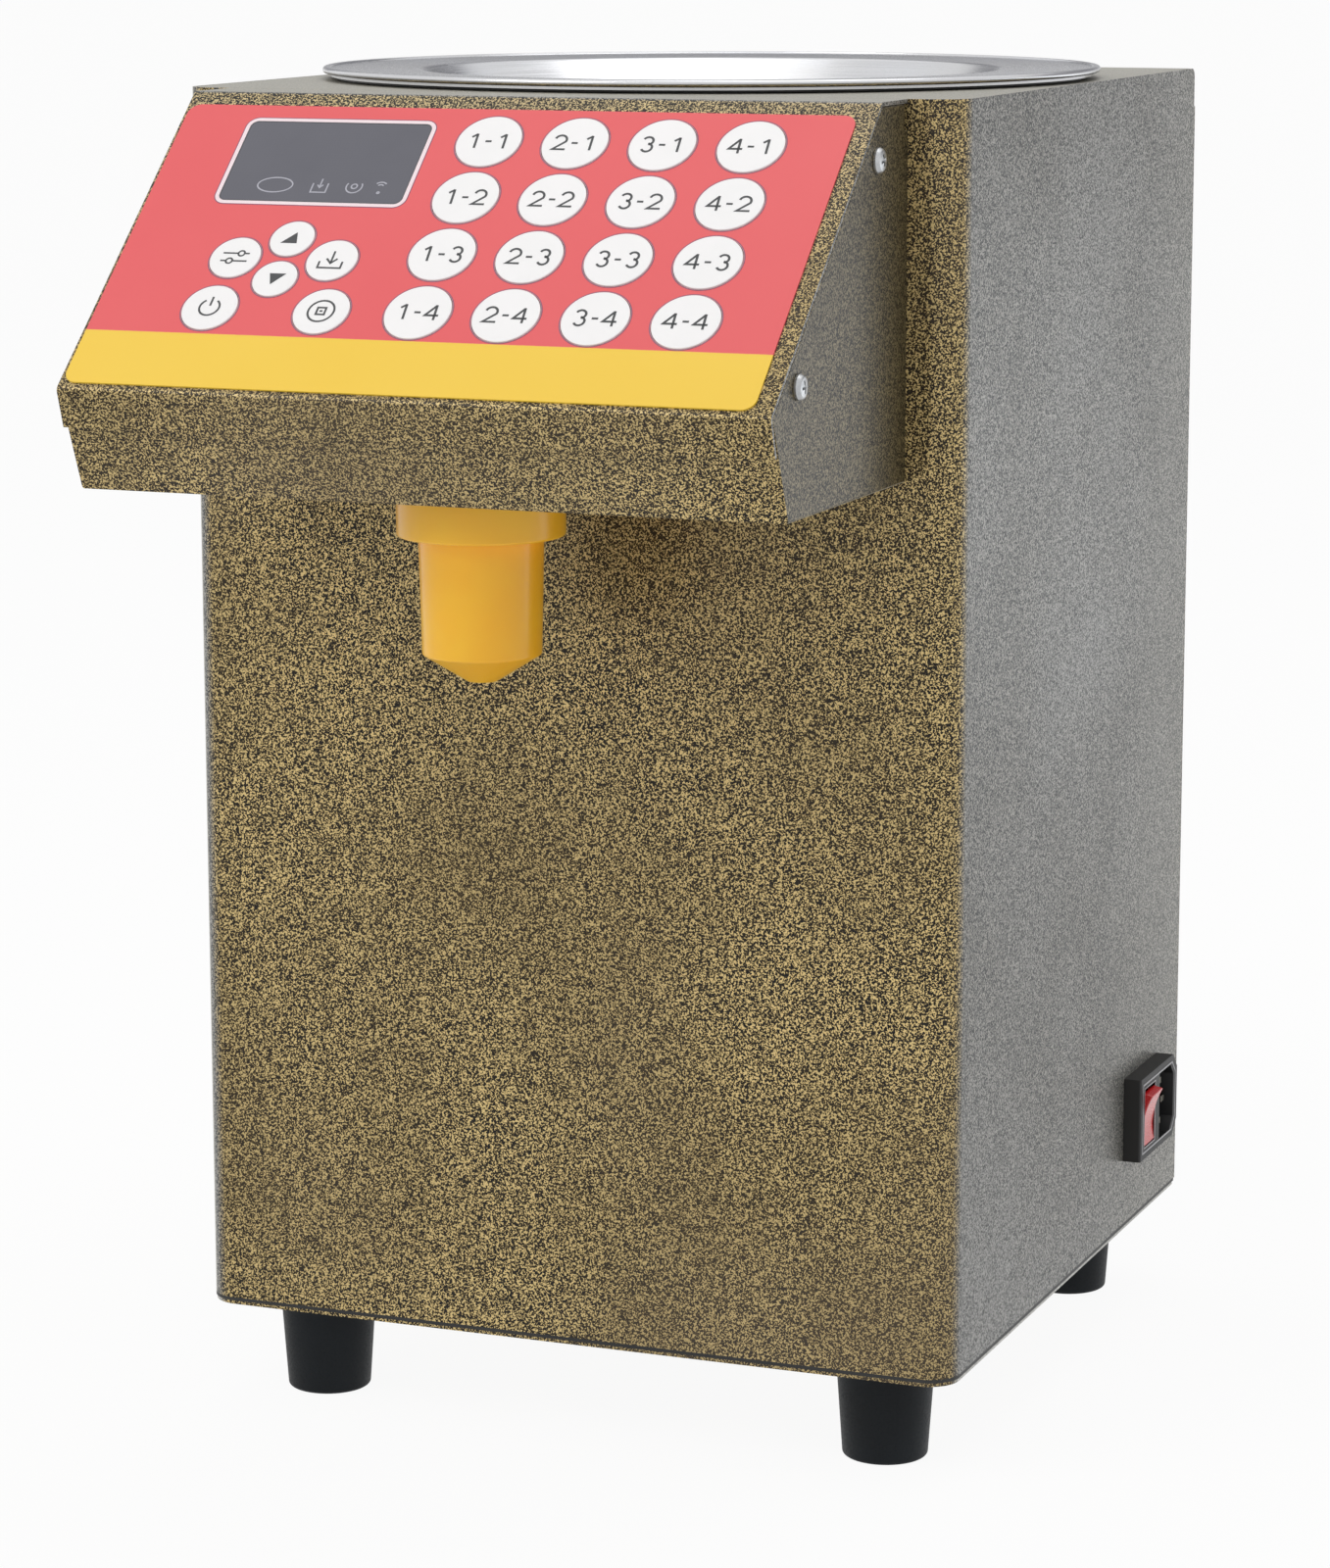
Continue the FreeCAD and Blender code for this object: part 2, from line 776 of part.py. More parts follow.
def pan_screw(name, x, y, z, axis=None, angle=0):
    """A pan-head screw whose head's underside is at the given spot."""
    piece = Piece(name)
    piece.turn(
        [
            (0, -s.screw_length),
            (s.screw_radius, -s.screw_length),
            (s.screw_radius, 0),
            (s.screw_head_radius, 0),
            (s.screw_head_radius, s.screw_head_rim),
            (s.screw_crown_radius, s.screw_head_height),
            (0, s.screw_head_height),
        ]
    )
    arm = about(0, s.screw_recess_span / 2)
    slot = about(0, s.screw_recess_width / 2)
    deep = (s.screw_head_height - s.screw_recess_depth, s.screw_head_height + s.overrun)
    piece.box(arm, slot, deep, cut=True)
    piece.box(slot, arm, deep, cut=True)
    place(piece.body, x, y, z, axis, angle)
    return piece


def case_screws():
    spots = []
    for y, z in cheek_screw_spots:
        spots += [(head_half, y, z, "Y", QUARTER_TURN), (-head_half, y, z, "Y", -QUARTER_TURN)]
    for x in (-rear_screw_x, rear_screw_x):
        spots += [(x, back, z, "X", -QUARTER_TURN) for z in rear_screw_z]
    for x in about(0, s.rear_base_screw_side):
        spots.append((x, back, base_screw_z, "X", -QUARTER_TURN))
    for x in (-tray_screw_x, tray_screw_x):
        spots += [(x, front - s.sheet, z, "X", QUARTER_TURN) for z in tray_screw_z]
    for x in bracket_screw_x:
        spots += [(x, y, base_top + s.bracket_sheet) for y in bracket_screw_y]
    return group("case_screws", [pan_screw(f"screw_{i}", *spot) for i, spot in enumerate(spots)])


def head_tray():
    """Floor, leaning front and two cheeks folded from one sheet, with flanges against the shell."""
    piece = Piece("head_tray")
    under = s.sheet + s.cheek_gap
    half_bend = tangent(s.slope_angle / 2)
    floor_front = front - s.tray_floor_reach
    front_top_z = tray_low + s.tray_front_height
    front_top_y = floor_front - s.tray_front_height * tangent(s.tray_lean)
    # The corner under the lip lies the cover's thickness in from both of its faces
    turn_in = 1 + sine(s.slope_angle - s.lip_lean)
    lip_in_y = lip_y + under * (sine(s.slope_angle) + cosine(s.lip_lean)) / turn_in
    lip_in_z = lip_z + under * (sine(s.lip_lean) - cosine(s.slope_angle)) / turn_in
    side = [
        (front, tray_low),
        (floor_front, tray_low),
        (front_top_y, front_top_z),
        (lip_in_y, lip_in_z),
        (slope_top + under * half_bend, shell_top - under),
        (front, shell_top - under),
    ]
    piece.slab(side, s.head_width)
    piece.round(s.tray_edge, line_at("Y", x=about(0, head_half), z=[tray_low]))
    inner_low = tray_low + s.sheet
    wall_in = s.sheet / cosine(s.tray_lean)
    hollow = [
        (front + s.overrun, inner_low),
        (floor_front + wall_in - s.sheet * tangent(s.tray_lean), inner_low),
        (front_top_y + wall_in, front_top_z),
        (lip_y - s.overrun, front_top_z),
        (lip_y - s.overrun, shell_top + s.overrun),
        (front + s.overrun, shell_top + s.overrun),
    ]
    piece.slab(hollow, s.head_width - s.sheet * 2, cut=True)
    flange_y = (front - s.sheet, front)
    flange_top = shell_top - s.cheek_notch_height - s.sheet
    outer = head_half - s.sheet
    piece.box((-outer, -outer + s.tray_flange), flange_y, (inner_low, flange_top))
    piece.box((outer - s.tray_flange, outer), flange_y, (inner_low, flange_top))
    notch_z = (shell_top - s.cheek_notch_height, shell_top)
    piece.box(about(0, head_half), (front - s.cheek_notch_width, front), notch_z, cut=True)
    for y, z in cheek_screw_spots:
        piece.cylinder(screw_hole, -head_half - s.overrun, y, z, s.head_width + s.overrun * 2, "X", cut=True)
    for x in (-tray_screw_x, tray_screw_x):
        for z in tray_screw_z:
            piece.cylinder(screw_hole, x, front - s.overrun, z, s.overrun * 2, "Y", cut=True)
    piece.cylinder(s.stem_radius + s.bolt_gap, 0, nozzle_y, tray_low - s.overrun, s.overrun * 2, cut=True)
    return node(piece)


def on_slope(thing):
    """Turns a thing built flat, X to the right and Y up the slope, onto the slope's face."""
    target = thing.body if isinstance(thing, Piece) else thing
    place(target, 0, slope_top, shell_top, "X", s.slope_angle)
    return thing


def key_places():
    """Name, radius, distance right and distance down the slope of every key."""
    found = []
    for row in range(KEY_ROWS):
        for column in range(KEY_COLUMNS):
            x = s.dose_key_left + s.dose_key_pitch * column
            down = s.dose_key_high + s.dose_key_drop * row
            found.append((f"dose_key_{column + 1}_{row + 1}", s.dose_key_radius, x, down))
    arrow_down_low = s.arrow_up_low + s.arrow_key_drop
    found.append(("key_up", s.arrow_key_radius, s.arrow_key_left, s.arrow_up_low))
    found.append(("key_down", s.arrow_key_radius, s.arrow_key_left, arrow_down_low))
    found.append(("key_set", s.side_key_radius, s.arrow_key_left - s.side_key_spread, s.side_key_low))
    found.append(("key_store", s.side_key_radius, s.arrow_key_left + s.side_key_spread, s.side_key_low))
    found.append(("key_power", s.mode_key_radius, s.mode_key_left, s.mode_key_low))
    found.append(("key_stop", s.mode_key_radius, s.mode_key_right, s.mode_key_low))
    return found


window_x = (-s.window_left, -s.window_right)
window_y = (-s.window_low, -s.window_high)


def widened(span, by):
    return (span[0] - by, span[1] + by)


def head_cover():
    """Top strip, slope and lip in one sheet, with a screw flange inside each cheek."""
    piece = Piece("head_cover")
    fold = s.slope_angle - s.lip_lean
    low = -s.slope_length
    lip_end = (low - sine(fold) * s.lip_length, -cosine(fold) * s.lip_length)
    run = s.head_top_run - s.cheek_gap
    top_end = (cosine(s.slope_angle) * run, -sine(s.slope_angle) * run)
    top_in = (top_end[0] - sine(s.slope_angle) * s.sheet, top_end[1] - cosine(s.slope_angle) * s.sheet)
    lip_in = (lip_end[0] + cosine(fold) * s.sheet, lip_end[1] - sine(fold) * s.sheet)
    low_in = low + s.sheet * (1 - sine(fold)) / cosine(fold)
    side = [
        (low, 0),
        (0, 0),
        top_end,
        top_in,
        (-s.sheet * tangent(s.slope_angle / 2), -s.sheet),
        (low_in, -s.sheet),
        lip_in,
        lip_end,
    ]
    piece.slab(side, s.head_width)
    piece.round(s.cover_bend, line_at("X", y=[0], z=[0]))
    piece.round(s.lip_bend, line_at("X", y=[low], z=[0]))
    outer = head_half - s.sheet - s.cheek_gap
    length = (-s.cover_flange_end, -s.cover_flange_start)
    for x in ((outer - s.sheet, outer), (-outer, -outer + s.sheet)):
        piece.box(x, length, (-s.cover_flange, -s.sheet))
    for down in (s.cheek_screw_high, s.cheek_screw_low):
        start = -outer - s.overrun
        span = outer * 2 + s.overrun * 2
        piece.cylinder(screw_hole, start, -down, -s.cheek_screw_depth, span, "X", cut=True)
    through = about(0, s.overrun)
    piece.box(widened(window_x, s.window_gap), widened(window_y, s.window_gap), through, cut=True)
    for _, radius, x, down in key_places():
        piece.cylinder(radius + s.key_gap, x, -down, -s.overrun, s.overrun * 2, cut=True)
    return node(on_slope(piece))


def control_overlay():
    piece = Piece("control_overlay")
    x = (s.overlay_left_inset - head_half, head_half - s.overlay_right_inset)
    y = (-s.overlay_low, -s.overlay_high)
    piece.box(x, y, (0, s.overlay_thickness))
    piece.round(s.overlay_corner, line_at("Z", x=x, y=y))
    through = about(0, s.overrun)
    hole_x = widened(window_x, s.window_gap)
    hole_y = widened(window_y, s.window_gap)
    piece.box(hole_x, hole_y, through, cut=True)
    piece.round(s.window_corner + s.window_gap, line_at("Z", x=hole_x, y=hole_y))
    for _, radius, x, down in key_places():
        piece.cylinder(radius + s.key_gap, x, -down, -s.overrun, s.overrun * 2, cut=True)
    return node(on_slope(piece))


def display_window():
    """Smoked pane, flush with the overlay, with a flange under the cover's sheet."""
    piece = Piece("display_window")
    piece.box(window_x, window_y, (-s.sheet, s.overlay_thickness))
    piece.round(s.window_corner, line_at("Z", x=window_x, y=window_y))
    flange_z = (-s.sheet - s.window_flange_thickness, -s.sheet)
    piece.box(widened(window_x, s.window_flange), widened(window_y, s.window_flange), flange_z)
    return node(on_slope(piece))


def display_module():
    piece = Piece("display_module")
    roof = -s.sheet - s.window_flange_thickness - s.display_gap
    x = widened(window_x, -s.display_margin)
    y = widened(window_y, -s.display_margin)
    piece.box(x, y, (-s.board_drop, roof))
    return node(on_slope(piece))


def key_board():
    piece = Piece("key_board")
    low = -board_depth
    piece.box(about(0, board_side), (-s.board_low, -s.board_high), (low, -s.board_drop))
    plug = (low - s.plug_height, low)
    piece.box(about(cable_x, s.plug_length / 2), about(-cable_down, s.plug_height / 2), plug)
    return node(on_slope(piece))


def key_switches():
    """One small push switch on the board under each key."""
    made = []
    for name, _, x, down in key_places():
        case = doc.addObject("Part::Box", f"{name}_switch_case")
        bind(case, Length=s.switch_width, Width=s.switch_width, Height=s.switch_height)
        place(case, x - s.switch_width / 2, -down - s.switch_width / 2, -s.board_drop)
        plunger = doc.addObject("Part::Cylinder", f"{name}_switch_plunger")
        bind(plunger, Radius=s.plunger_radius, Height=s.switch_height + s.plunger_height)
        place(plunger, x, -down, -s.board_drop)
        switch = doc.addObject("Part::Fuse", f"{name}_switch")
        switch.Base = case
        switch.Tool = plunger
        made.append(switch)
    return on_slope(group("key_switches", made))


def keys():
    flange_top = -s.sheet - s.key_seat_gap
    flange_low = flange_top - s.key_flange_thickness
    stem_end = -s.board_drop + s.switch_height + s.plunger_height + s.key_stem_gap
    for name, radius, x, down in key_places():
        piece = Piece(name)
        brim = radius + s.key_flange
        piece.turn(
            [
                (0, stem_end),
                (s.key_stem_radius, stem_end),
                (s.key_stem_radius, flange_low),
                (brim, flange_low),
                (brim, flange_top),
                (radius, flange_top),
                (radius, s.key_proud),
                (0, s.key_proud),
            ]
        )
        piece.round(s.key_edge, ring_at(radius, s.key_proud))
        y, z = down_slope(down)
        place(piece.body, x, y, z, "X", s.slope_angle)
        node(piece)


def board_standoffs():
    made = []
    for i, x in enumerate(about(0, board_side - s.standoff_inset)):
        for j, down in enumerate((s.standoff_high, s.standoff_low)):
            post = doc.addObject("Part::Cylinder", f"key_board_post_{i}_{j}")
            bind(post, Radius=s.standoff_radius, Height=s.board_drop - s.sheet)
            y, z = down_slope(down, -s.board_drop)
            place(post, x, y, z, "X", s.slope_angle)
            made.append(post)
    for i, x in enumerate(widened(control_x, -s.control_standoff_inset)):
        for j, y in enumerate(widened(control_y, -s.control_standoff_inset)):
            post = doc.addObject("Part::Cylinder", f"control_board_post_{i}_{j}")
            bind(post, Radius=s.standoff_radius, Height=s.control_lift)
            place(post, x, y, base_top)
            made.append(post)
    return group("board_standoffs", made)


# Levels of the tank and the lid
gasket_top = shell_top + s.gasket_thickness
rim_top = gasket_top + s.tank_sheet
tank_low = rim_top - s.tank_depth
cone_low = tank_low - s.tank_cone_drop


def tank_gasket():
    piece = Piece("tank_gasket")
    inner = lid_radius - s.gasket_inner_inset
    outer = lid_radius - s.gasket_outer_inset
    piece.turn([(inner, shell_top), (outer, shell_top), (outer, gasket_top), (inner, gasket_top)])
    return node(piece)


def syrup_tank():
    """The wall of the pot: a rolled tube."""
    piece = Piece("syrup_tank")
    inner = tank_radius - s.tank_sheet
    low = tank_low + s.tank_bottom_round
    piece.turn([(inner, low), (tank_radius, low), (tank_radius, gasket_top), (inner, gasket_top)])
    return node(piece)


def tank_rim():
    """Flat ring welded on the wall: the tank hangs by it."""
    piece = Piece("tank_rim")
    inner = tank_radius - s.tank_sheet
    outer = lid_radius - s.tank_rim_inset
    piece.turn([(inner, gasket_top), (outer, gasket_top), (outer, rim_top), (inner, rim_top)])
    return node(piece)


def tank_lid():
    """A pressed lid: a rolled bead round the rim, a flat land, and a well sunk into the tank."""
    piece = Piece("tank_lid")
    low = rim_top + s.lid_gap
    high = low + s.lid_bead_height
    bead_in = lid_radius - s.lid_bead_width
    well = lid_radius - s.lid_well_inset
    land = low + s.lid_land_rise
    land_in = land - s.lid_land_drop
    well_in = well - s.lid_well_slant
    well_low = land_in - s.lid_well_depth
    thick = s.lid_sheet
    piece.turn(
        [
            (0, well_low),
            (well_in, well_low),
            (well, land_in),
            (bead_in, land),
            (bead_in, low),
            (lid_radius, low),
            (lid_radius, high),
            (bead_in, high),
            (bead_in, land + thick),
            (well, land_in + thick),
            (well_in, well_low + thick),
            (0, well_low + thick),
        ]
    )
    piece.round(s.lid_bead_round, ring_at(lid_radius, low, high))
    piece.round(s.lid_well_round, ring_at(well_in, well_low + thick))
    piece.round(s.lid_well_round + thick, ring_at(well_in, well_low))
    return node(piece)


neck_low = cone_low - s.outlet_flange_thickness - s.outlet_neck_length
outlet_low = neck_low - s.outlet_barb_length


def bottom_dish():
    """Dish welded under the wall, falling to the outlet."""
    piece = Piece("bottom_dish")
    inner = tank_radius - s.tank_sheet
    edge = tank_low + s.tank_bottom_round
    piece.turn(
        [
            (inner, edge),
            (inner, tank_low + s.tank_sheet),
            (s.tank_flat_radius, cone_low + s.tank_sheet),
            (s.tank_hole_radius, cone_low + s.tank_sheet),
            (s.tank_hole_radius, cone_low),
            (s.tank_flat_radius, cone_low),
            (tank_radius, tank_low),
            (tank_radius, edge),
        ]
    )
    curve = s.tank_bottom_round - s.tank_seam_rise
    piece.round(curve, ring_at(tank_radius, tank_low))
    piece.round(curve - s.tank_sheet, ring_at(inner, tank_low + s.tank_sheet))
    return piece


def outlet_spigot():
    """Spigot welded under the middle of the dish."""
    piece = Piece("outlet_spigot")
    flange_low = cone_low - s.outlet_flange_thickness
    piece.turn(
        [
            (s.outlet_bore_radius, cone_low),
            (s.outlet_flange_radius, cone_low),
            (s.outlet_flange_radius, flange_low),
            (s.outlet_neck_radius, flange_low),
            (s.outlet_neck_radius, neck_low),
            (s.outlet_barb_radius, neck_low),
            (s.outlet_barb_radius, outlet_low),
            (s.outlet_bore_radius, outlet_low),
        ]
    )
    return piece


def tank_bottom():
    return group("tank_bottom", [bottom_dish(), outlet_spigot()])


pump_top = s.pump_axis_height + s.pump_half_height


def suction_hose():
    """Soft hose straight down from the tank's spigot onto the pump's inlet."""
    piece = Piece("suction_hose")
    low = pump_top + s.barb_reach
    high = neck_low - s.barb_reach
    bore = s.outlet_barb_radius + s.hose_fit
    outer = s.suction_hose_radius
    piece.turn([(bore, low), (outer, low), (outer, high), (bore, high)])
    return piece


gear_x = about(0, s.gear_pitch_radius)
drive_shaft_length = s.pump_length - s.gear_length + s.bracket_sheet + s.drive_shaft_reach / 2


def pump_housing():
    piece = Piece("pump_housing")
    x = about(0, s.pump_half_width)
    y = (s.pump_front, bracket_y)
    z = about(s.pump_axis_height, s.pump_half_height)
    piece.box(x, y, z)
    piece.round(s.pump_corner, line_at("Y", x=x, z=z))
    depth = s.gear_length + s.gear_end_gap
    for x in gear_x:
        bore = s.gear_tip_radius + s.gear_tip_gap
        piece.cylinder(bore, x, s.pump_front, s.pump_axis_height, depth, "Y", cut=True)
    drive = s.shaft_radius + s.shaft_gap
    piece.cylinder(drive, gear_x[0], s.pump_front, s.pump_axis_height, s.pump_length, "Y", cut=True)
    blind = depth + s.driven_shaft_length + s.gear_end_gap
    piece.cylinder(drive, gear_x[1], s.pump_front, s.pump_axis_height, blind, "Y", cut=True)
    piece.cylinder(s.outlet_barb_radius, 0, 0, pump_top, s.pump_inlet_height)
    channel = s.pump_half_height + s.pump_inlet_height
    piece.cylinder(s.pump_inlet_bore, 0, 0, s.pump_axis_height, channel, cut=True)
    return node(piece)


cover_y = s.pump_front - s.pump_cover_thickness
outlet_z = s.pump_axis_height - s.pump_outlet_drop
outlet_y = cover_y - s.pump_outlet_length


def pump_cover():
    piece = Piece("pump_cover")
    x = about(0, s.pump_half_width)
    z = about(s.pump_axis_height, s.pump_half_height)
    piece.box(x, (cover_y, s.pump_front), z)
    piece.round(s.pump_corner, line_at("Y", x=x, z=z))
    for x in gear_x:
        blind = s.shaft_front_length + s.gear_end_gap
        bore = s.shaft_radius + s.shaft_gap
        piece.cylinder(bore, x, s.pump_front - blind, s.pump_axis_height, blind, "Y", cut=True)
    piece.cylinder(s.delivery_barb_radius, 0, outlet_y, outlet_z, s.pump_outlet_length, "Y")
    length = s.pump_front - outlet_y
    piece.cylinder(s.pump_outlet_bore, 0, outlet_y, outlet_z, length, "Y", cut=True)
    return node(piece)


def gear(name, x, shaft_length, half_pitch_turned):
    """A spur gear on its shaft, built about Z and laid along Y."""
    piece = Piece(name)
    piece.cylinder(s.gear_root_radius, length=s.gear_length)
    root = s.gear_root_radius - s.sheet
    tooth = [
        (root, -s.gear_tooth_root / 2),
        (s.gear_root_radius, -s.gear_tooth_root / 2),
        (s.gear_tip_radius, -s.gear_tooth_tip / 2),
        (s.gear_tip_radius, s.gear_tooth_tip / 2),
        (s.gear_root_radius, s.gear_tooth_root / 2),
        (root, s.gear_tooth_root / 2),
    ]
    sketch = piece.outline("XY_Plane", tooth)
    pad = piece.feature("Pad")
    pad.Profile = sketch
    bind(pad, Length=s.gear_length)
    doc.recompute()
    around = piece.feature("PolarPattern")
    around.Originals = [pad]
    around.Axis = ([a for a in piece.body.Origin.OriginFeatures if a.Role == "Z_Axis"][0], [""])
    around.Angle = FULL_TURN
    around.Occurrences = GEAR_TEETH
    piece.body.Tip = around
    piece.cylinder(s.shaft_radius, z=-s.shaft_front_length, length=s.shaft_front_length)
    piece.cylinder(s.shaft_radius, z=s.gear_length, length=shaft_length)
    lay = FreeCAD.Rotation(AXES["X"], -QUARTER_TURN)
    spin = FreeCAD.Rotation(AXES["Z"], FULL_TURN / GEAR_TEETH / 2 if half_pitch_turned else 0)
    piece.body.Placement = FreeCAD.Placement(FreeCAD.Vector(), lay * spin)
    spot = (x, s.pump_front + s.gear_end_gap / 2, s.pump_axis_height)
    for letter, size in zip("xyz", spot):
        piece.body.setExpression(f"Placement.Base.{letter}", size.formula)
    return node(piece)


def pump_bracket():
    """Upright plate between pump and motor, on a foot screwed to the base."""
    piece = Piece("pump_bracket")
    x = about(0, s.bracket_half_width)
    y = (bracket_y, bracket_y + s.bracket_sheet)
    piece.box(x, y, (base_top, pump_top))
    foot_y_span = (bracket_y, bracket_y + s.bracket_foot_length)
    piece.box(x, foot_y_span, (base_top, base_top + s.bracket_sheet))
    through = s.bracket_sheet + s.overrun * 2
    bore = s.shaft_radius + s.bolt_gap
    piece.cylinder(bore, gear_x[0], bracket_y - s.overrun, s.pump_axis_height, through, "Y", cut=True)
    for x in bracket_screw_x:
        for y in bracket_screw_y:
            piece.cylinder(screw_hole, x, y, base_top - s.overrun, through, cut=True)
    return node(piece)


def pump_motor():
    piece = Piece("pump_motor")
    face = bracket_y + s.bracket_sheet
    x = gear_x[0]
    end = face + s.motor_length
    piece.cylinder(s.motor_radius, x, face, s.pump_axis_height, s.motor_length, "Y")
    piece.cylinder(s.motor_boss_radius, x, end, s.pump_axis_height, s.motor_boss_length, "Y")
    tab_y = (end + s.motor_boss_length, end + s.motor_boss_length + s.motor_tab_length)
    for middle in about(s.pump_axis_height, s.motor_tab_spread):
        wide = about(x, s.motor_tab_width / 2)
        piece.box(wide, tab_y, about(middle, s.motor_tab_thickness / 2))
    bore = s.shaft_radius + s.shaft_gap
    reach = s.drive_shaft_reach
    piece.cylinder(bore, x, face, s.pump_axis_height, reach, "Y", cut=True)
    return node(piece)


def path_through(places, bends):
    """Straight runs joined by tangent arcs of the given radii, as one wire."""
    runs = []
    start = places[0]
    for before, corner, after, radius in zip(places, places[1:], places[2:], bends):
        inward = (before - corner).normalize()
        onward = (after - corner).normalize()
        half = math.acos(max(-1, min(1, inward.dot(onward)))) / 2
        back_off = radius / math.tan(half)
        first = corner + inward * back_off
        last = corner + onward * back_off
        middle = corner + (inward + onward).normalize() * (radius / math.sin(half) - radius)
        runs.append(Part.LineSegment(start, first).toShape())
        runs.append(Part.Arc(first, middle, last).toShape())
        start = last
    runs.append(Part.LineSegment(start, places[-1]).toShape())
    return Part.Wire(runs)


def tube(name, places, bends, outer, bore=None):
    """A round hose or cable swept along its route, and a printed check of its volume."""
    spots = [FreeCAD.Vector(*(sized(size).number for size in spot)) for spot in places]
    radii = [sized(radius).number for radius in bends]
    wire = path_through(spots, radii)
    along = (spots[1] - spots[0]).normalize()
    solids = []
    for radius in [outer] + ([bore] if bore else []):
        ring = Part.Wire(Part.makeCircle(radius.number, spots[0], along))
        solids.append(wire.makePipeShell([ring], True, False))
    shape = solids[0].cut(solids[1]) if bore else solids[0]
    area = math.pi * (outer.number**2 - (bore.number**2 if bore else 0))
    print(name, "bend radii", radii, "volume over section times length", shape.Volume / (area * wire.Length))
    made = doc.addObject("Part::Feature", name)
    made.Label = name
    made.Shape = shape
    return made


hose_y = front + s.sheet + s.delivery_wall_gap + s.delivery_hose_radius
stem_face = nozzle_y + s.stem_top_radius + s.barb_reach


def delivery_hose():
    """From the pump's outlet up the inside of the front wall, and out into the head."""
    places = [
        (0, cover_y - s.barb_reach, outlet_z),
        (0, hose_y, outlet_z),
        (0, hose_y, delivery_height),
        (0, stem_face, delivery_height),
    ]
    bends = [s.delivery_low_bend, s.delivery_high_bend]
    bore = s.delivery_barb_radius + s.hose_fit
    return tube("delivery_hose", places, bends, s.delivery_hose_radius, bore)


def syrup_hoses():
    return group("syrup_hoses", [suction_hose(), delivery_hose()])


# The keypad's cable runs from the control board to the key board, on the right of the hose
control_x = (s.control_left, s.control_left + s.control_width)
control_y = (-s.control_front, s.control_length - s.control_front)
control_low = base_top + s.control_lift
control_top = control_low + s.board_thickness
control_plug_y = -s.control_front + s.plug_length
cable_x = s.dose_key_pitch
cable_down = s.dose_key_high + s.dose_key_drop


def control_cable():
    start_x = s.control_left + s.control_width / 2
    wall_y = front + s.sheet + s.cable_wall_gap
    plug_top = control_top + s.plug_height
    tip = down_slope(cable_down, -board_depth - s.plug_height)
    turn = down_slope(cable_down, -s.cable_turn_depth)
    places = [
        (start_x, control_plug_y, plug_top),
        (start_x, control_plug_y, plug_top + s.cable_rise),
        (start_x, wall_y, plug_top + s.cable_rise * 2),
        (cable_x, wall_y, s.cable_high),
        (cable_x, front - s.cable_duct_reach, delivery_height),
        (cable_x, turn[0], turn[1]),
        (cable_x, tip[0], tip[1]),
    ]
    spots = [FreeCAD.Vector(*(sized(size).number for size in spot)) for spot in places]
    bends = []
    for before, corner, after in zip(spots, spots[1:], spots[2:]):
        half_turn = (corner - before).getAngle(after - corner) / 2
        shorter = min(before.distanceToPoint(corner), corner.distanceToPoint(after))
        bends.append(shorter * CABLE_BEND_SHARE / math.tan(half_turn))
    return node(tube("control_cable", places, bends, s.cable_radius))


def control_board():
    piece = Piece("control_board")
    piece.box(control_x, control_y, (control_low, control_top))
    middle = s.control_left + s.control_width / 2
    tall = (control_low, control_top + s.plug_height)
    piece.box(about(middle, s.plug_length / 2), about(control_plug_y, s.plug_height / 2), tall)
    for i in range(3):
        y = control_y[1] - s.relay_length - (s.relay_length + s.relay_gap) * i
        relay = (control_low, control_top + s.relay_height)
        piece.box(about(middle, s.relay_width / 2), about(y, s.relay_length / 2), relay)
    chip = (control_low, control_top + s.chip_height)
    chip_y = control_plug_y + s.chip_length * 2
    piece.box(about(middle, s.chip_width / 2), about(chip_y, s.chip_length / 2), chip)
    return node(piece)


def power_supply():
    """Boxed mains supply for the pump and the boards, with its terminal block at the back."""
    piece = Piece("power_supply")
    left = s.supply_side_gap - half_width
    x = (left, left + s.supply_width)
    y = about(s.supply_middle, s.supply_length / 2)
    roof = floor_top + s.supply_height
    piece.box(x, y, (floor_top, roof))
    step = (y[1] - s.supply_terminal_length, y[1])
    piece.box(x, step, (floor_top + s.supply_terminal_height, roof), cut=True)
    return node(piece)


collar_low = tray_low - s.collar_height
cup_top = collar_low - s.cup_gap
cup_shoulder = cup_top - s.cup_height
cup_tip = cup_shoulder - s.cup_cone_drop


def at_nozzle(piece):
    place(piece.body, 0, nozzle_y)
    return node(piece)


def nozzle_collar():
    piece = Piece("nozzle_collar")
    roof = tray_low - s.collar_roof
    hole = s.stem_radius + s.thread_gap
    thread = s.cup_neck_radius + s.thread_gap
    piece.turn(
        [
            (hole, tray_low),
            (s.collar_radius, tray_low),
            (s.collar_radius, collar_low),
            (thread, collar_low),
            (thread, roof),
            (hole, roof),
        ]
    )
    piece.round(s.collar_edge, ring_at(s.collar_radius, collar_low))
    return at_nozzle(piece)


cup_inner = s.cup_neck_radius - s.cup_wall
cup_floor_edge = cup_shoulder + s.cup_wall
cup_floor = cup_tip + s.cup_cone_drop / 2 + s.cup_wall / 2


def nozzle_cup():
    """The spout's cup, screwed into the collar, with a coned bottom and its outlet."""
    piece = Piece("nozzle_cup")
    neck_top = collar_low + s.cup_neck_height
    piece.turn(
        [
            (cup_inner, neck_top),
            (s.cup_neck_radius, neck_top),
            (s.cup_neck_radius, cup_top),
            (s.cup_top_radius, cup_top),
            (s.cup_low_radius, cup_shoulder),
            (s.cup_tip_radius, cup_tip),
            (s.cup_outlet_radius, cup_tip),
            (s.cup_outlet_radius, cup_floor),
            (cup_inner, cup_floor_edge),
        ]
    )
    return at_nozzle(piece)


stem_low = tray_low - s.stem_low_length


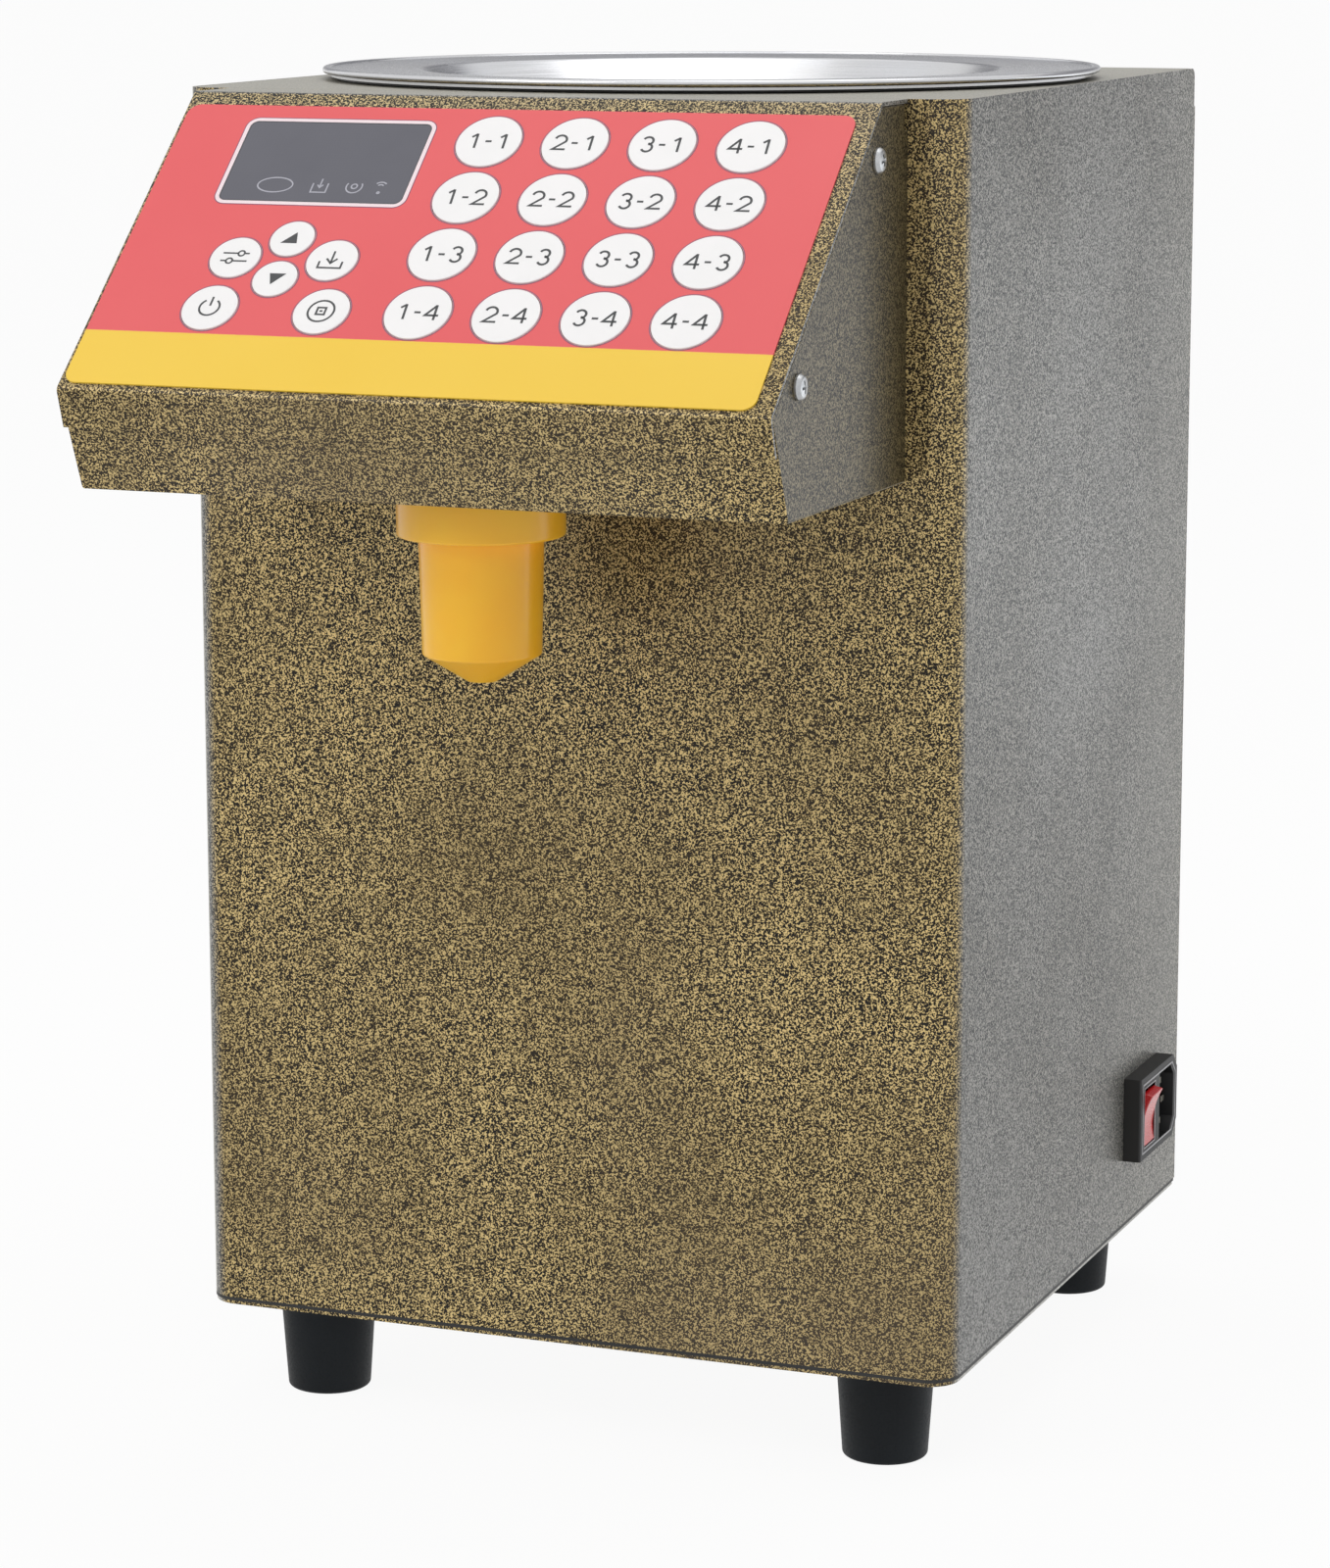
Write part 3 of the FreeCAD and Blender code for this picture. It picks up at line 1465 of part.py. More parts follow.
def nozzle_stem():
    """Elbow through the tray's floor: seat of the valve below, hose barb towards the back."""
    piece = Piece("nozzle_stem")
    floor = tray_low + s.sheet
    flange_top = floor + s.stem_flange_thickness
    hex_top = flange_top + s.stem_hex_height
    piece.turn(
        [
            (0, stem_low),
            (s.stem_radius, stem_low),
            (s.stem_radius, floor),
            (s.stem_flange_radius, floor),
            (s.stem_flange_radius, flange_top),
            (s.stem_hex_radius, flange_top),
            (s.stem_hex_radius, hex_top),
            (s.stem_top_radius, hex_top),
            (s.stem_top_radius, stem_top),
            (0, stem_top),
        ]
    )
    barb = s.delivery_barb_length
    piece.cylinder(s.delivery_barb_radius, 0, 0, delivery_height, barb, "Y")
    piece.cylinder(s.pump_outlet_bore, 0, 0, delivery_height, barb + s.overrun, "Y", cut=True)
    piece.cylinder(s.stem_bore_radius, 0, 0, stem_low, delivery_height - stem_low, cut=True)
    return at_nozzle(piece)


valve_top = stem_low - s.valve_gap
valve_low = valve_top - s.valve_thickness


def drip_valve():
    """Poppet that the spring holds against the stem's end, and the syrup pushes down."""
    piece = Piece("drip_valve")
    guide_top = valve_top + s.valve_guide_length
    piece.turn(
        [
            (0, valve_low),
            (s.valve_radius, valve_low),
            (s.valve_radius, valve_top),
            (s.valve_guide_radius, valve_top),
            (s.valve_guide_radius, guide_top),
            (0, guide_top),
        ]
    )
    return at_nozzle(piece)


def valve_spring():
    """Helix between the cup's floor and the valve, each quarter turn an arc through three points."""
    radius = s.spring_radius.number
    wire = s.spring_wire_radius.number
    slope = (cup_floor_edge.number - cup_floor.number) / (cup_inner.number - s.cup_outlet_radius.number)
    rest = cup_floor.number + slope * (radius + wire - s.cup_outlet_radius.number)
    low = rest + wire + s.spring_end_gap.number
    high = valve_low.number - wire - s.spring_end_gap.number
    quarters = SPRING_TURNS * 4

    def spot(quarter):
        turn = quarter * math.pi / 2
        rise = low + (high - low) * quarter / quarters
        return FreeCAD.Vector(radius * math.cos(turn), radius * math.sin(turn), rise)

    arcs = [Part.Arc(spot(q), spot(q + 0.5), spot(q + 1)).toShape() for q in range(quarters)]
    helix = Part.Wire(arcs)
    start = arcs[0].tangentAt(arcs[0].FirstParameter)
    ring = Part.Wire(Part.makeCircle(wire, spot(0), start))
    coil = helix.makePipeShell([ring], True, False)
    print("valve_spring least gap between turns", (high - low) / SPRING_TURNS - wire * 2)
    made = doc.addObject("Part::Feature", "valve_spring")
    made.Label = "valve_spring"
    made.Shape = coil
    place(made, 0, nozzle_y)
    return node(made)


inlet_half = s.inlet_length / 2
inlet_face = half_width + s.inlet_proud
inlet_back = half_width - s.inlet_depth
well_y = (
    inlet_y - inlet_half + s.rocker_front_wall,
    inlet_y - inlet_half + s.rocker_front_wall + s.rocker_well_width,
)
socket_back = inlet_y + inlet_half - s.socket_back_wall
socket_y = (socket_back - s.socket_length, socket_back)
rocker_x = inlet_face - s.rocker_sink
rocker_y = (well_y[0] + well_y[1]) / 2
socket_floor = inlet_face - s.socket_depth
pin_y = (socket_y[0] + socket_y[1]) / 2


def pin_spots():
    """The y and z of the two supply blades and of the earth blade, nearer the cut corners."""
    return [
        (pin_y - s.pin_stagger, s.inlet_height - s.pin_spread),
        (pin_y - s.pin_stagger, s.inlet_height + s.pin_spread),
        (pin_y + s.pin_stagger, s.inlet_height),
    ]


def inlet_housing():
    """Snap-in moulding: a flange outside the shell, a box inside it, a well and a socket."""
    piece = Piece("inlet_housing")
    y = about(inlet_y, inlet_half)
    z = about(s.inlet_height, s.inlet_tall / 2)
    piece.box((half_width, inlet_face), y, z)
    piece.chamfer(s.inlet_chamfer, line_at("X", y=y[1:], z=z))
    piece.round(s.inlet_edge, line_at("Z", x=[inlet_face], y=y[:1]))
    body_y = widened(y, -s.inlet_shoulder)
    body_z = widened(z, -s.inlet_shoulder)
    piece.box((inlet_back, half_width), body_y, body_z)
    well_z = about(s.inlet_height, s.rocker_well_tall / 2)
    piece.box((inlet_face - s.rocker_well_depth, inlet_face + s.overrun), well_y, well_z, cut=True)
    trunnion = s.trunnion_length + s.trunnion_end_gap
    for y in (well_y[0] - trunnion, well_y[1]):
        bore = s.trunnion_radius + s.shaft_gap
        piece.cylinder(bore, rocker_x, y, s.inlet_height, trunnion, "Y", cut=True)
    socket_z = about(s.inlet_height, s.socket_tall / 2)
    piece.box((socket_floor, inlet_face + s.overrun), socket_y, socket_z, cut=True)
    piece.chamfer(s.socket_chamfer, line_at("X", y=socket_y[1:], z=socket_z))
    for y, z in pin_spots():
        blade_y = about(y, s.pin_wide / 2)
        blade_z = about(z, s.pin_thick / 2)
        piece.box((inlet_back - s.overrun, socket_floor + s.overrun), blade_y, blade_z, cut=True)
    return node(piece)


def inlet_pins():
    made = []
    for i, (y, z) in enumerate(pin_spots()):
        blade = doc.addObject("Part::Box", f"inlet_pin_{i}")
        low = inlet_back - s.pin_tail
        bind(blade, Length=inlet_face - s.pin_tip_gap - low, Width=s.pin_wide, Height=s.pin_thick)
        place(blade, low, y - s.pin_wide / 2, z - s.pin_thick / 2)
        made.append(blade)
    return group("inlet_pins", made)


def power_rocker():
    """Built level about its pivot, then tipped with its top end out."""
    piece = Piece("power_rocker")
    half = s.rocker_tall / 2
    side = [
        (s.rocker_crest, half),
        (s.rocker_valley, 0),
        (s.rocker_crest, -half),
        (s.rocker_heel, -half),
        (-s.rocker_root, -s.rocker_root_tall / 2),
        (-s.rocker_root, s.rocker_root_tall / 2),
        (s.rocker_heel, half),
    ]
    piece.slab(side, s.rocker_width, role="XZ_Plane")
    length = s.rocker_width + s.trunnion_length * 2
    piece.cylinder(s.trunnion_radius, 0, -length / 2, 0, length, "Y")
    place(piece.body, rocker_x, rocker_y, s.inlet_height, "Y", s.rocker_tilt)
    return node(piece)


base_plate()
rubber_feet()
foot_bolts()
body_shell()
top_plate()
rear_cover()
head_tray()
head_cover()
case_screws()
control_overlay()
display_window()
display_module()
key_board()
key_switches()
keys()
board_standoffs()
tank_gasket()
syrup_tank()
tank_rim()
tank_bottom()
tank_lid()
pump_housing()
pump_cover()
gear("drive_gear", gear_x[0], drive_shaft_length, False)
gear("driven_gear", gear_x[1], s.driven_shaft_length, True)
pump_bracket()
pump_motor()
syrup_hoses()
control_board()
control_cable()
power_supply()
nozzle_stem()
nozzle_collar()
nozzle_cup()
drip_valve()
valve_spring()
inlet_housing()
inlet_pins()
power_rocker()

doc.recompute()
faults = [thing.Name for thing in doc.Objects if {"Invalid", "Error"} & set(thing.State)]
faults += [thing.Label for thing in nodes if thing.Shape.isNull() or not thing.Shape.isValid()]
if faults:
    raise RuntimeError(f"these did not build: {faults}")
for thing in nodes:
    thing.Shape.exportStep(f"parts/{thing.Label}.step")
print(len(nodes), "nodes written")
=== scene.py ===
# %% [markdown]
# # A syrup dispenser with a sloping keypad
#
# The real object is a counter-top machine: a folded steel case in hammertone paint, a spun
# stainless lid on top, a head with a printed keypad on its front, and an orange nozzle under it.
# Its solids were drawn in a CAD program. They come in here as a fixed frame, and every looks
# piece is made where that frame says, in metres.

# %% The frame
import json
import math
import bmesh
import bpy
from mathutils import Matrix, Vector


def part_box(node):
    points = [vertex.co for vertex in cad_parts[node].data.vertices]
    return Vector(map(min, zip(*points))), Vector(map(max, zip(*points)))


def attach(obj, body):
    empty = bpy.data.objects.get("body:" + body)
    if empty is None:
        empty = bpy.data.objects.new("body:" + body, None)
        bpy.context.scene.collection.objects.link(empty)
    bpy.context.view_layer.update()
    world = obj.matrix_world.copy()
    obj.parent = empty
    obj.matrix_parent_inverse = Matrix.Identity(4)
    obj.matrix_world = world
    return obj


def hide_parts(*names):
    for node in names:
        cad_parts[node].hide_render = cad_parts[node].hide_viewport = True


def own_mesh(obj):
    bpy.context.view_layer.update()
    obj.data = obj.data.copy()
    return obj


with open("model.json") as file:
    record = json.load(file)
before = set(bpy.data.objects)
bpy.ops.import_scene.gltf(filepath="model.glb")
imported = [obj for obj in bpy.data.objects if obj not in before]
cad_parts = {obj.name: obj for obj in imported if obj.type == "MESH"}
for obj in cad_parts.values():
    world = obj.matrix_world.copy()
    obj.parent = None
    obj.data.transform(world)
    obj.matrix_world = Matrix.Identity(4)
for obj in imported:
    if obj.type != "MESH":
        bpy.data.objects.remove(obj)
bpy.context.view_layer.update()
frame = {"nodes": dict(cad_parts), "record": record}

mm = 0.001
nodes = frame["nodes"]

# %% [markdown]
# ## Small helpers
#
# Most pieces start as a form of corners and faces, become a mesh, and are put in the scene as an
# object. Curves and modifiers end as plain meshes too. Each of these steps is written once, here.


# %% Forms, meshes and objects
def placed(name, data):
    """A new object with its data, put in the scene."""
    made = bpy.data.objects.new(name, data)
    bpy.context.scene.collection.objects.link(made)
    return made


def mesh_of(form, name):
    """A form as a mesh. The form is freed."""
    mesh = bpy.data.meshes.new(name)
    form.to_mesh(mesh)
    form.free()
    return mesh


def prism(low, high):
    """A closed solid between two rings of points, in millimetres."""
    form = bmesh.new()
    low, high = ([form.verts.new([value * mm for value in point]) for point in ring]
                 for ring in (low, high))
    form.faces.new(low)
    form.faces.new(high)
    for i in range(len(low)):
        j = (i + 1) % len(low)
        form.faces.new((low[i], low[j], high[j], high[i]))
    bmesh.ops.recalc_face_normals(form, faces=form.faces)
    return mesh_of(form, "prism")


def result_of(rough):
    """What an object's curve or modifiers come to, as a plain mesh. The object is removed."""
    graph = bpy.context.evaluated_depsgraph_get()
    mesh = bpy.data.meshes.new_from_object(rough.evaluated_get(graph), depsgraph=graph)
    bpy.data.objects.remove(rough)
    return mesh


print("helpers for forms, meshes and objects")

# %% [markdown]
# ## The camera
#
# The photograph was taken from a little above and to the right, with a long lens. Three angles
# say where a camera looks: yaw round the vertical, pitch down, and a trace of roll. Working the
# three directions out by hand keeps the numbers plain, and a matrix made of them turns the camera.

# %% The camera at the photograph's angle
yaw, pitch, roll = math.radians(21.74), math.radians(10.81), math.radians(-0.08)
back = Vector((math.sin(yaw) * math.cos(pitch), -math.cos(yaw) * math.cos(pitch), math.sin(pitch)))
level_right = Vector((math.cos(yaw), math.sin(yaw), 0))
level_up = level_right.cross(-back)
right = level_right * math.cos(roll) + level_up * math.sin(roll)
up = -level_right * math.sin(roll) + level_up * math.cos(roll)

lens = bpy.data.cameras.new("camera")
lens.sensor_width = 36
lens.lens = 108.41
camera = placed("camera", lens)
stand = Matrix.Translation((0.54908, -1.41763, 0.4770))
camera.matrix_world = stand @ Matrix((right, up, back)).transposed().to_4x4()
bpy.context.scene.camera = camera
bpy.context.scene.view_settings.view_transform = "Standard"
print("the camera stands", round(camera.location.length, 3), "m from the middle of the base")

# %% [markdown]
# ## Shader sums as plain sums
#
# A material is a graph of nodes, and a sum in it takes one Math node for each sign. Wrapping a
# socket in a small class with its own plus, times and divide turns that into ordinary sums. The
# second class is one material: it adds any node by its type, and joins values or links to it.


# %% A reading and a finish
class Reading:
    """One number that changes over a surface. A sum on it adds a Math node."""

    def __init__(self, finish, socket):
        self.finish = finish
        self.socket = socket

    def sum(self, operation, *others):
        """A Math node whose first term is this reading."""
        return self.finish.sum(operation, self, *others)

    def __add__(self, other):
        return self.sum("ADD", other)

    def __mul__(self, other):
        return self.sum("MULTIPLY", other)

    def __truediv__(self, other):
        return self.sum("DIVIDE", other)

    def __lt__(self, other):
        return self.sum("LESS_THAN", other)


def shade(red, green, blue):
    """A colour as it is read off a screen, 0 to 255, as the light values a shader wants."""
    parts = [part / 255 for part in (red, green, blue)]
    return [p / 12.92 if p <= 0.04045 else ((p + 0.055) / 1.055) ** 2.4 for p in parts] + [1]


class Finish:
    """One material, made of nodes."""

    def __init__(self, name):
        self.material = bpy.data.materials.new(name)
        self.own(self.material)

    def own(self, holder):
        """Starts an empty tree in a material or a world."""
        holder.use_nodes = True
        self.tree = holder.node_tree
        self.tree.nodes.clear()

    def node(self, kind, settings={}, inputs={}, output=0):
        made = self.tree.nodes.new(kind)
        for key, value in settings.items():
            if key == "stops":
                self.set_stops(made.color_ramp, value)
            else:
                setattr(made, key, value)
        for key, value in inputs.items():
            if isinstance(value, Reading):
                self.tree.links.new(value.socket, made.inputs[key])
            else:
                made.inputs[key].default_value = value
        return Reading(self, made.outputs[output]) if made.outputs else None

    def sum(self, operation, *terms):
        return self.node("ShaderNodeMath", {"operation": operation}, dict(enumerate(terms)))

    def set_stops(self, ramp, stops):
        for _ in stops[2:]:
            ramp.elements.new(0.5)
        for element, (place, colour) in zip(ramp.elements, stops):
            element.position = place
            element.color = colour

    def place(self, scale=(1, 1, 1)):
        """Object coordinates, in metres, which stay with the piece when it moves."""
        here = self.node("ShaderNodeTexCoord", output="Object")
        inputs = {"Vector": here, "Scale": scale}
        return self.node("ShaderNodeMapping", {"vector_type": "POINT"}, inputs)

    def part(self, place, axis):
        """One of a place's three numbers: 0 is X, 1 is Y and 2 is Z."""
        return self.node("ShaderNodeSeparateXYZ", inputs={0: place}, output=axis)

    def ray(self, kind):
        """1 for light rays of one kind, such as Camera or Glossy, and 0 for the others."""
        return self.node("ShaderNodeLightPath", output=f"Is {kind} Ray")

    def noise(self, place, scale, detail=2, distortion=0, roughness=0.5):
        inputs = {"Vector": place, "Scale": scale, "Detail": detail,
                  "Distortion": distortion, "Roughness": roughness}
        return self.node("ShaderNodeTexNoise", inputs=inputs)

    def spread(self, reading, low, high, out_low=0, out_high=1):
        """A reading stretched from one range to another, and clamped there."""
        inputs = {0: reading, 1: low, 2: high, 3: out_low, 4: out_high}
        return self.node("ShaderNodeMapRange", inputs=inputs)

    def tint(self, share, first, second):
        """Two colours mixed by a share."""
        inputs = {0: share, 6: first, 7: second}
        return self.node("ShaderNodeMix", {"data_type": "RGBA"}, inputs, 2)

    def bump(self, height, depth, strength):
        """Relief from a reading, with a depth in millimetres."""
        inputs = {"Height": height, "Distance": depth * mm, "Strength": strength}
        return self.node("ShaderNodeBump", inputs=inputs)

    def surface(self, **sockets):
        """The shader itself. An underscore in a name stands for a space."""
        named = {key.replace("_", " "): value for key, value in sockets.items()}
        shader = self.node("ShaderNodeBsdfPrincipled", inputs=named)
        self.node("ShaderNodeOutputMaterial", inputs={"Surface": shader})
        return self.material

    def grained(self, colour, grain, gloss, depth, strength, **sockets):
        """A surface whose gloss and relief follow one grain."""
        return self.surface(Base_Color=colour, Roughness=self.spread(grain, 0.3, 0.7, *gloss),
                            Normal=self.bump(grain, depth, strength), **sockets)


print("readings add, multiply, divide and compare")

# %% [markdown]
# ## Floor and light
#
# A studio sweep is a floor that curves up into a wall, so there is no line behind the object. Its
# colour is pale, and for the camera and for reflections part of it shines at strength 1, which is
# plain white. The rest of it stays an ordinary surface, and keeps the soft shadow. A band of the
# wall is dusky in reflections alone, which gives the bright lid its dark sweeps.


# %% The floor and its sweep
def studio_sweep():
    """A floor, a quarter of a round bend, and a wall, as one strip of faces."""
    front, reach, rise, bend, side, steps = -3.0, 3.0, 3.2, 1.2, 4.5, 12
    line = [(front, 0.0)]
    for step in range(steps + 1):
        turn = math.pi / 2 * step / steps
        line.append((reach + bend * math.sin(turn), bend * (1 - math.cos(turn))))
    line.append((reach + bend, rise))
    form = bmesh.new()
    left, right = ([form.verts.new((x, y, z)) for y, z in line] for x in (-side, side))
    for i in range(len(line) - 1):
        form.faces.new((left[i], right[i], right[i + 1], left[i + 1]))
    mesh = mesh_of(form, "studio_sweep")
    mesh.shade_smooth()
    return placed("studio_sweep", mesh)


def sweep_paint():
    """White where it is seen, pale where it is lit, dusky in a band where it is mirrored."""
    paint = Finish("studio_sweep")
    cloud = paint.noise(paint.place(), 2.5)
    colour = paint.tint(cloud, shade(240, 240, 240), shade(246, 246, 245))
    matt = paint.node("ShaderNodeBsdfDiffuse", inputs={"Color": colour})
    mirrored = paint.ray("Glossy")
    height = paint.part(paint.place(), 2)
    dusk = mirrored * paint.spread(height, 0.25, 1.2) * paint.spread(height, 3.1, 2.5)
    shine = paint.tint(dusk, shade(255, 255, 255), shade(140, 140, 145))
    glow = paint.node("ShaderNodeEmission", inputs={"Color": shine, "Strength": 1})
    share = paint.ray("Camera") * 0.93 + mirrored * 0.95
    mixed = paint.node("ShaderNodeMixShader", inputs={0: share, 1: matt, 2: glow})
    paint.node("ShaderNodeOutputMaterial", inputs={"Surface": mixed})
    return paint.material


sweep = studio_sweep()
sweep.data.materials.append(sweep_paint())
print("the sweep has", len(sweep.data.polygons), "faces")

# %% [markdown]
# Three soft panels and an even sky light it. The largest is high on the left in front, so the
# slope and the lid are the brightest faces. A low cool panel stands at the right, behind, so the
# painted side grows lighter towards its foot. The sky is weaker as a light than where it is seen.


# %% The panels and the sky
def panel(name, spot, aim, width, height, radiance, colour=(1, 1, 1)):
    """A flat lamp of a given brightness, at a spot, facing what it lights."""
    lamp = bpy.data.lights.new(name, "AREA")
    lamp.shape = "RECTANGLE"
    lamp.size = width
    lamp.size_y = height
    lamp.energy = radiance * math.pi * width * height
    lamp.color = colour
    made = placed(name, lamp)
    made.location = spot
    made.rotation_euler = (Vector(aim) - Vector(spot)).to_track_quat("-Z", "Y").to_euler()


class Sky(Finish):
    """The world, made of nodes in the same way."""

    def __init__(self, light, seen):
        bpy.context.scene.world = bpy.data.worlds.new("sky")
        self.own(bpy.context.scene.world)
        seen_ray = self.ray("Camera").sum("MAXIMUM", self.ray("Glossy"))
        seen_ray = seen_ray.sum("MAXIMUM", self.ray("Transmission"))
        strength = self.spread(seen_ray, 0, 1, light, seen)
        inputs = {"Color": (1, 1, 1, 1), "Strength": strength}
        glow = self.node("ShaderNodeBackground", inputs=inputs)
        self.node("ShaderNodeOutputWorld", inputs={"Surface": glow})


middle = (0, -0.05, 0.22)
panel("key_panel", (-1.1, -1.7, 1.9), middle, 1.3, 1.3, 3.1, (1, 0.985, 0.95))
panel("top_panel", (0.2, 0.3, 2.0), middle, 1.6, 1.2, 1.2)
panel("side_panel", (0.8, 0.6, 0.17), (0.1, 0.0, 0.12), 1.0, 0.3, 0.8, (0.9, 0.95, 1.0))
Sky(light=0.6, seen=1.0)

# %% [markdown]
# ## Hammertone paint
#
# Hammertone is a paint with metal flakes whose surface draws into small raised islands as it
# dries, with dark worm-like lines between them. A noise bent by its own distortion has that
# shape. One reading of it drives the colour, the gloss and the relief together, so the dark lines
# are also the hollows. At a low angle a painted grey sheen covers the gold, and at the lowest
# angles a paler painted reflection, where the real paint mirrors the bright room. A thin clear
# coat shines as well.


# %% Hammertone paint
def hammertone_paint(name, sheen_colours, sheen_share):
    """Islands of gold in a dark net, under a painted grey sheen where they are seen at a low angle.
    """
    paint = Finish(name)
    place = paint.place()
    islands = paint.noise(place, 1820, 0.5, 0.8)
    drift, bloom = paint.noise(place, 11), paint.noise(place, 6, 1, 0.3)
    stops = [(0.43, shade(2, 1, 0)), (0.485, shade(40, 29, 8)),
             (0.53, shade(110, 90, 46)), (0.575, shade(226, 200, 138))]
    gold = paint.node("ShaderNodeValToRGB", {"stops": stops}, {"Fac": islands})
    gold = paint.tint(paint.spread(drift, 0.4, 0.68, 0, 0.34), gold, shade(78, 62, 30))
    gold = paint.tint(paint.spread(bloom, 0.5, 0.72, 0, 0.2), gold, shade(120, 108, 96))
    grain = paint.spread(islands, 0.4, 0.6)
    # Painted sheen and reflection: at a low angle the gold turns grey, and at the lowest angles
    # pale grey.
    dark_sheen, pale_sheen = (shade(*colour) for colour in sheen_colours)
    grey = paint.tint(paint.spread(grain + drift, 0.6, 1.5), dark_sheen, pale_sheen)
    low_angle = paint.node("ShaderNodeLayerWeight", inputs={"Blend": 0.5}, output="Facing")
    grey = paint.tint(paint.spread(low_angle, 0.72, 0.85, 0, 0.8), grey, shade(190, 188, 178))
    colour = paint.tint(paint.spread(low_angle, 0.3, 0.62, 0, sheen_share), gold, grey)
    gloss = paint.spread(islands, 0.35, 0.65, 0.55, 0.36)
    return paint.surface(Base_Color=colour, Metallic=0.3, Roughness=gloss,
                         Normal=paint.bump(islands, 0.08, 0.45), Specular_IOR_Level=0.3,
                         Coat_Weight=0.2, Coat_Roughness=0.25, Coat_IOR=1.5)


# %% [markdown]
# ## The printed film and the window
#
# The keypad is one plastic film, printed from behind: red, with a yellow band at its lower end.
# Its colours follow the distance down the slope, which is a plain turn of Object coordinates. A
# print edge is never quite straight, so the border has a trace of noise. The film's face has a
# fine matt grain. The window is smoked plastic, dark and glossy.

# %% The slope that the keypad lies on
slope_angle = math.radians(41.9)
slope_top = Vector((0, -146.5 * mm, 416 * mm))
on_slope = Matrix.Translation(slope_top) @ Matrix.Rotation(slope_angle, 4, "X")


def slope_place(finish):
    """Object coordinates with X to the right, Y up the slope and Z off it, from its top edge."""
    here = finish.node("ShaderNodeTexCoord", output="Object")
    inputs = {"Vector": here, "Location": slope_top, "Rotation": (slope_angle, 0, 0)}
    return finish.node("ShaderNodeMapping", {"vector_type": "TEXTURE"}, inputs)


print("the slope leans by", round(math.degrees(slope_angle), 1), "degrees")


# %% Film, window and keys
def overlay_film():
    film = Finish("overlay_film")
    place = slope_place(film)
    down = film.part(place, 1) * -1000
    ragged = film.noise(place, 900, 1) * 0.12
    in_band = film.spread(down + ragged, 97.5, 97.7)
    drift = film.noise(place, 14, 3)
    red = film.tint(drift, shade(230, 84, 89), shade(236, 98, 101))
    yellow = film.tint(drift, shade(246, 202, 54), shade(250, 212, 76))
    grain = film.noise(place, 4200)
    return film.grained(film.tint(in_band, red, yellow), grain, (0.34, 0.5), 0.02, 0.4,
                        Coat_Weight=0.25, Coat_Roughness=0.25)


def smoked_window():
    """Smoked plastic over a display whose cells, a millimetre across, just show."""
    smoke = Finish("smoked_window")
    place = slope_place(smoke)
    across, down = smoke.part(place, 0) * 1000, smoke.part(place, 1) * -1000
    cells = (across.sum("PINGPONG", 0.5) < 0.06) + (down.sum("PINGPONG", 0.5) < 0.06)
    colour = smoke.tint(smoke.noise(place, 40, 3), shade(76, 76, 88), shade(90, 90, 101))
    colour = smoke.tint(cells * 0.12, colour, shade(70, 70, 80))
    gloss = smoke.spread(smoke.noise(place, 260, 4), 0.4, 0.7, 0.08, 0.2)
    return smoke.surface(Base_Color=colour, Roughness=gloss, Coat_Weight=0.6, Coat_Roughness=0.05)


def key_plastic():
    cap = Finish("key_plastic")
    place = slope_place(cap)
    grain = cap.noise(place, 3600)
    colour = cap.tint(cap.noise(place, 60), shade(246, 246, 246), shade(254, 252, 253))
    return cap.grained(colour, grain, (0.3, 0.46), 0.02, 0.3, Coat_Weight=0.3, Coat_Roughness=0.2)


# %% [markdown]
# ## Metals
#
# The lid, the tank and its outlet are spun or turned from stainless steel, so their fine marks are
# rings round one upright axis. Reading the distance from that axis, and only a little of the angle
# and the height, stretches a noise into such rings. The marks change the gloss most of all.


# %% Steel, zinc and brass
def stainless():
    steel = Finish("stainless")
    place = steel.place()
    x, y, z = (steel.part(place, axis) for axis in range(3))
    out = (x * x + y * y).sum("SQRT")
    inputs = {0: out * 2600, 1: y.sum("ARCTAN2", x) * 1.2, 2: z * 2600}
    ring = steel.node("ShaderNodeCombineXYZ", inputs=inputs)
    marks = steel.noise(ring, 1, 3, roughness=0.6)
    soft = steel.spread(steel.noise(place, 30, 3), 0.35, 0.7, 0, 0.25)
    colour = steel.tint(marks, shade(190, 191, 195), shade(222, 223, 226))
    colour = steel.tint(soft, colour, shade(190, 187, 180))
    return steel.grained(colour, marks, (0.16, 0.34), 0.01, 0.35, Metallic=1)


def zinc_steel():
    """Zinc plating: clouds in its colour, fine scratches in its gloss."""
    zinc = Finish("zinc_steel")
    bloom = zinc.noise(zinc.place(), 420, 3, 0.5)
    scratch = zinc.noise(zinc.place(scale=(1, 6, 1)), 900)
    colour = zinc.tint(bloom, shade(158, 160, 163), shade(206, 207, 208))
    gloss = zinc.spread(scratch, 0.3, 0.7, 0.2, 0.42)
    return zinc.surface(Base_Color=colour, Metallic=1, Roughness=gloss,
                        Normal=zinc.bump(bloom, 0.02, 0.3))


def inlet_brass():
    """Nickelled brass blades, drawn lengthways."""
    blade = Finish("inlet_brass")
    lines = blade.noise(blade.place(scale=(0.1, 1, 1)), 2200, 3)
    return blade.surface(Base_Color=blade.tint(lines, shade(60, 54, 40), shade(92, 84, 62)),
                         Metallic=1, Roughness=blade.spread(lines, 0.3, 0.7, 0.2, 0.4))


# %% [markdown]
# ## Plastics, rubbers and the rest
#
# A moulded piece takes the grain of its mould: fine and even on the black inlet, almost polished
# on the nozzle and the rocker. One function makes them all from two close shades, a grain size, a
# range of gloss and a depth, because only those differ from one plastic to the next. Some have a
# clear outer skin as well, and the feet mirror less than the others.


# %% Moulded pieces
def moulded(name, first, second, grain_scale, gloss_range, depth, coat=0, mirror=0.5):
    """A moulded plastic or rubber: two close shades in clouds, and a grain in gloss and relief."""
    made = Finish(name)
    place = made.place()
    cloud = made.spread(made.noise(place, 35, 3), 0.35, 0.65)
    grain = made.noise(place, grain_scale)
    colour = made.tint(cloud, shade(*first), shade(*second))
    return made.grained(colour, grain, gloss_range, depth, 0.4, Coat_Weight=coat,
                        Coat_Roughness=0.12, Specular_IOR_Level=mirror)


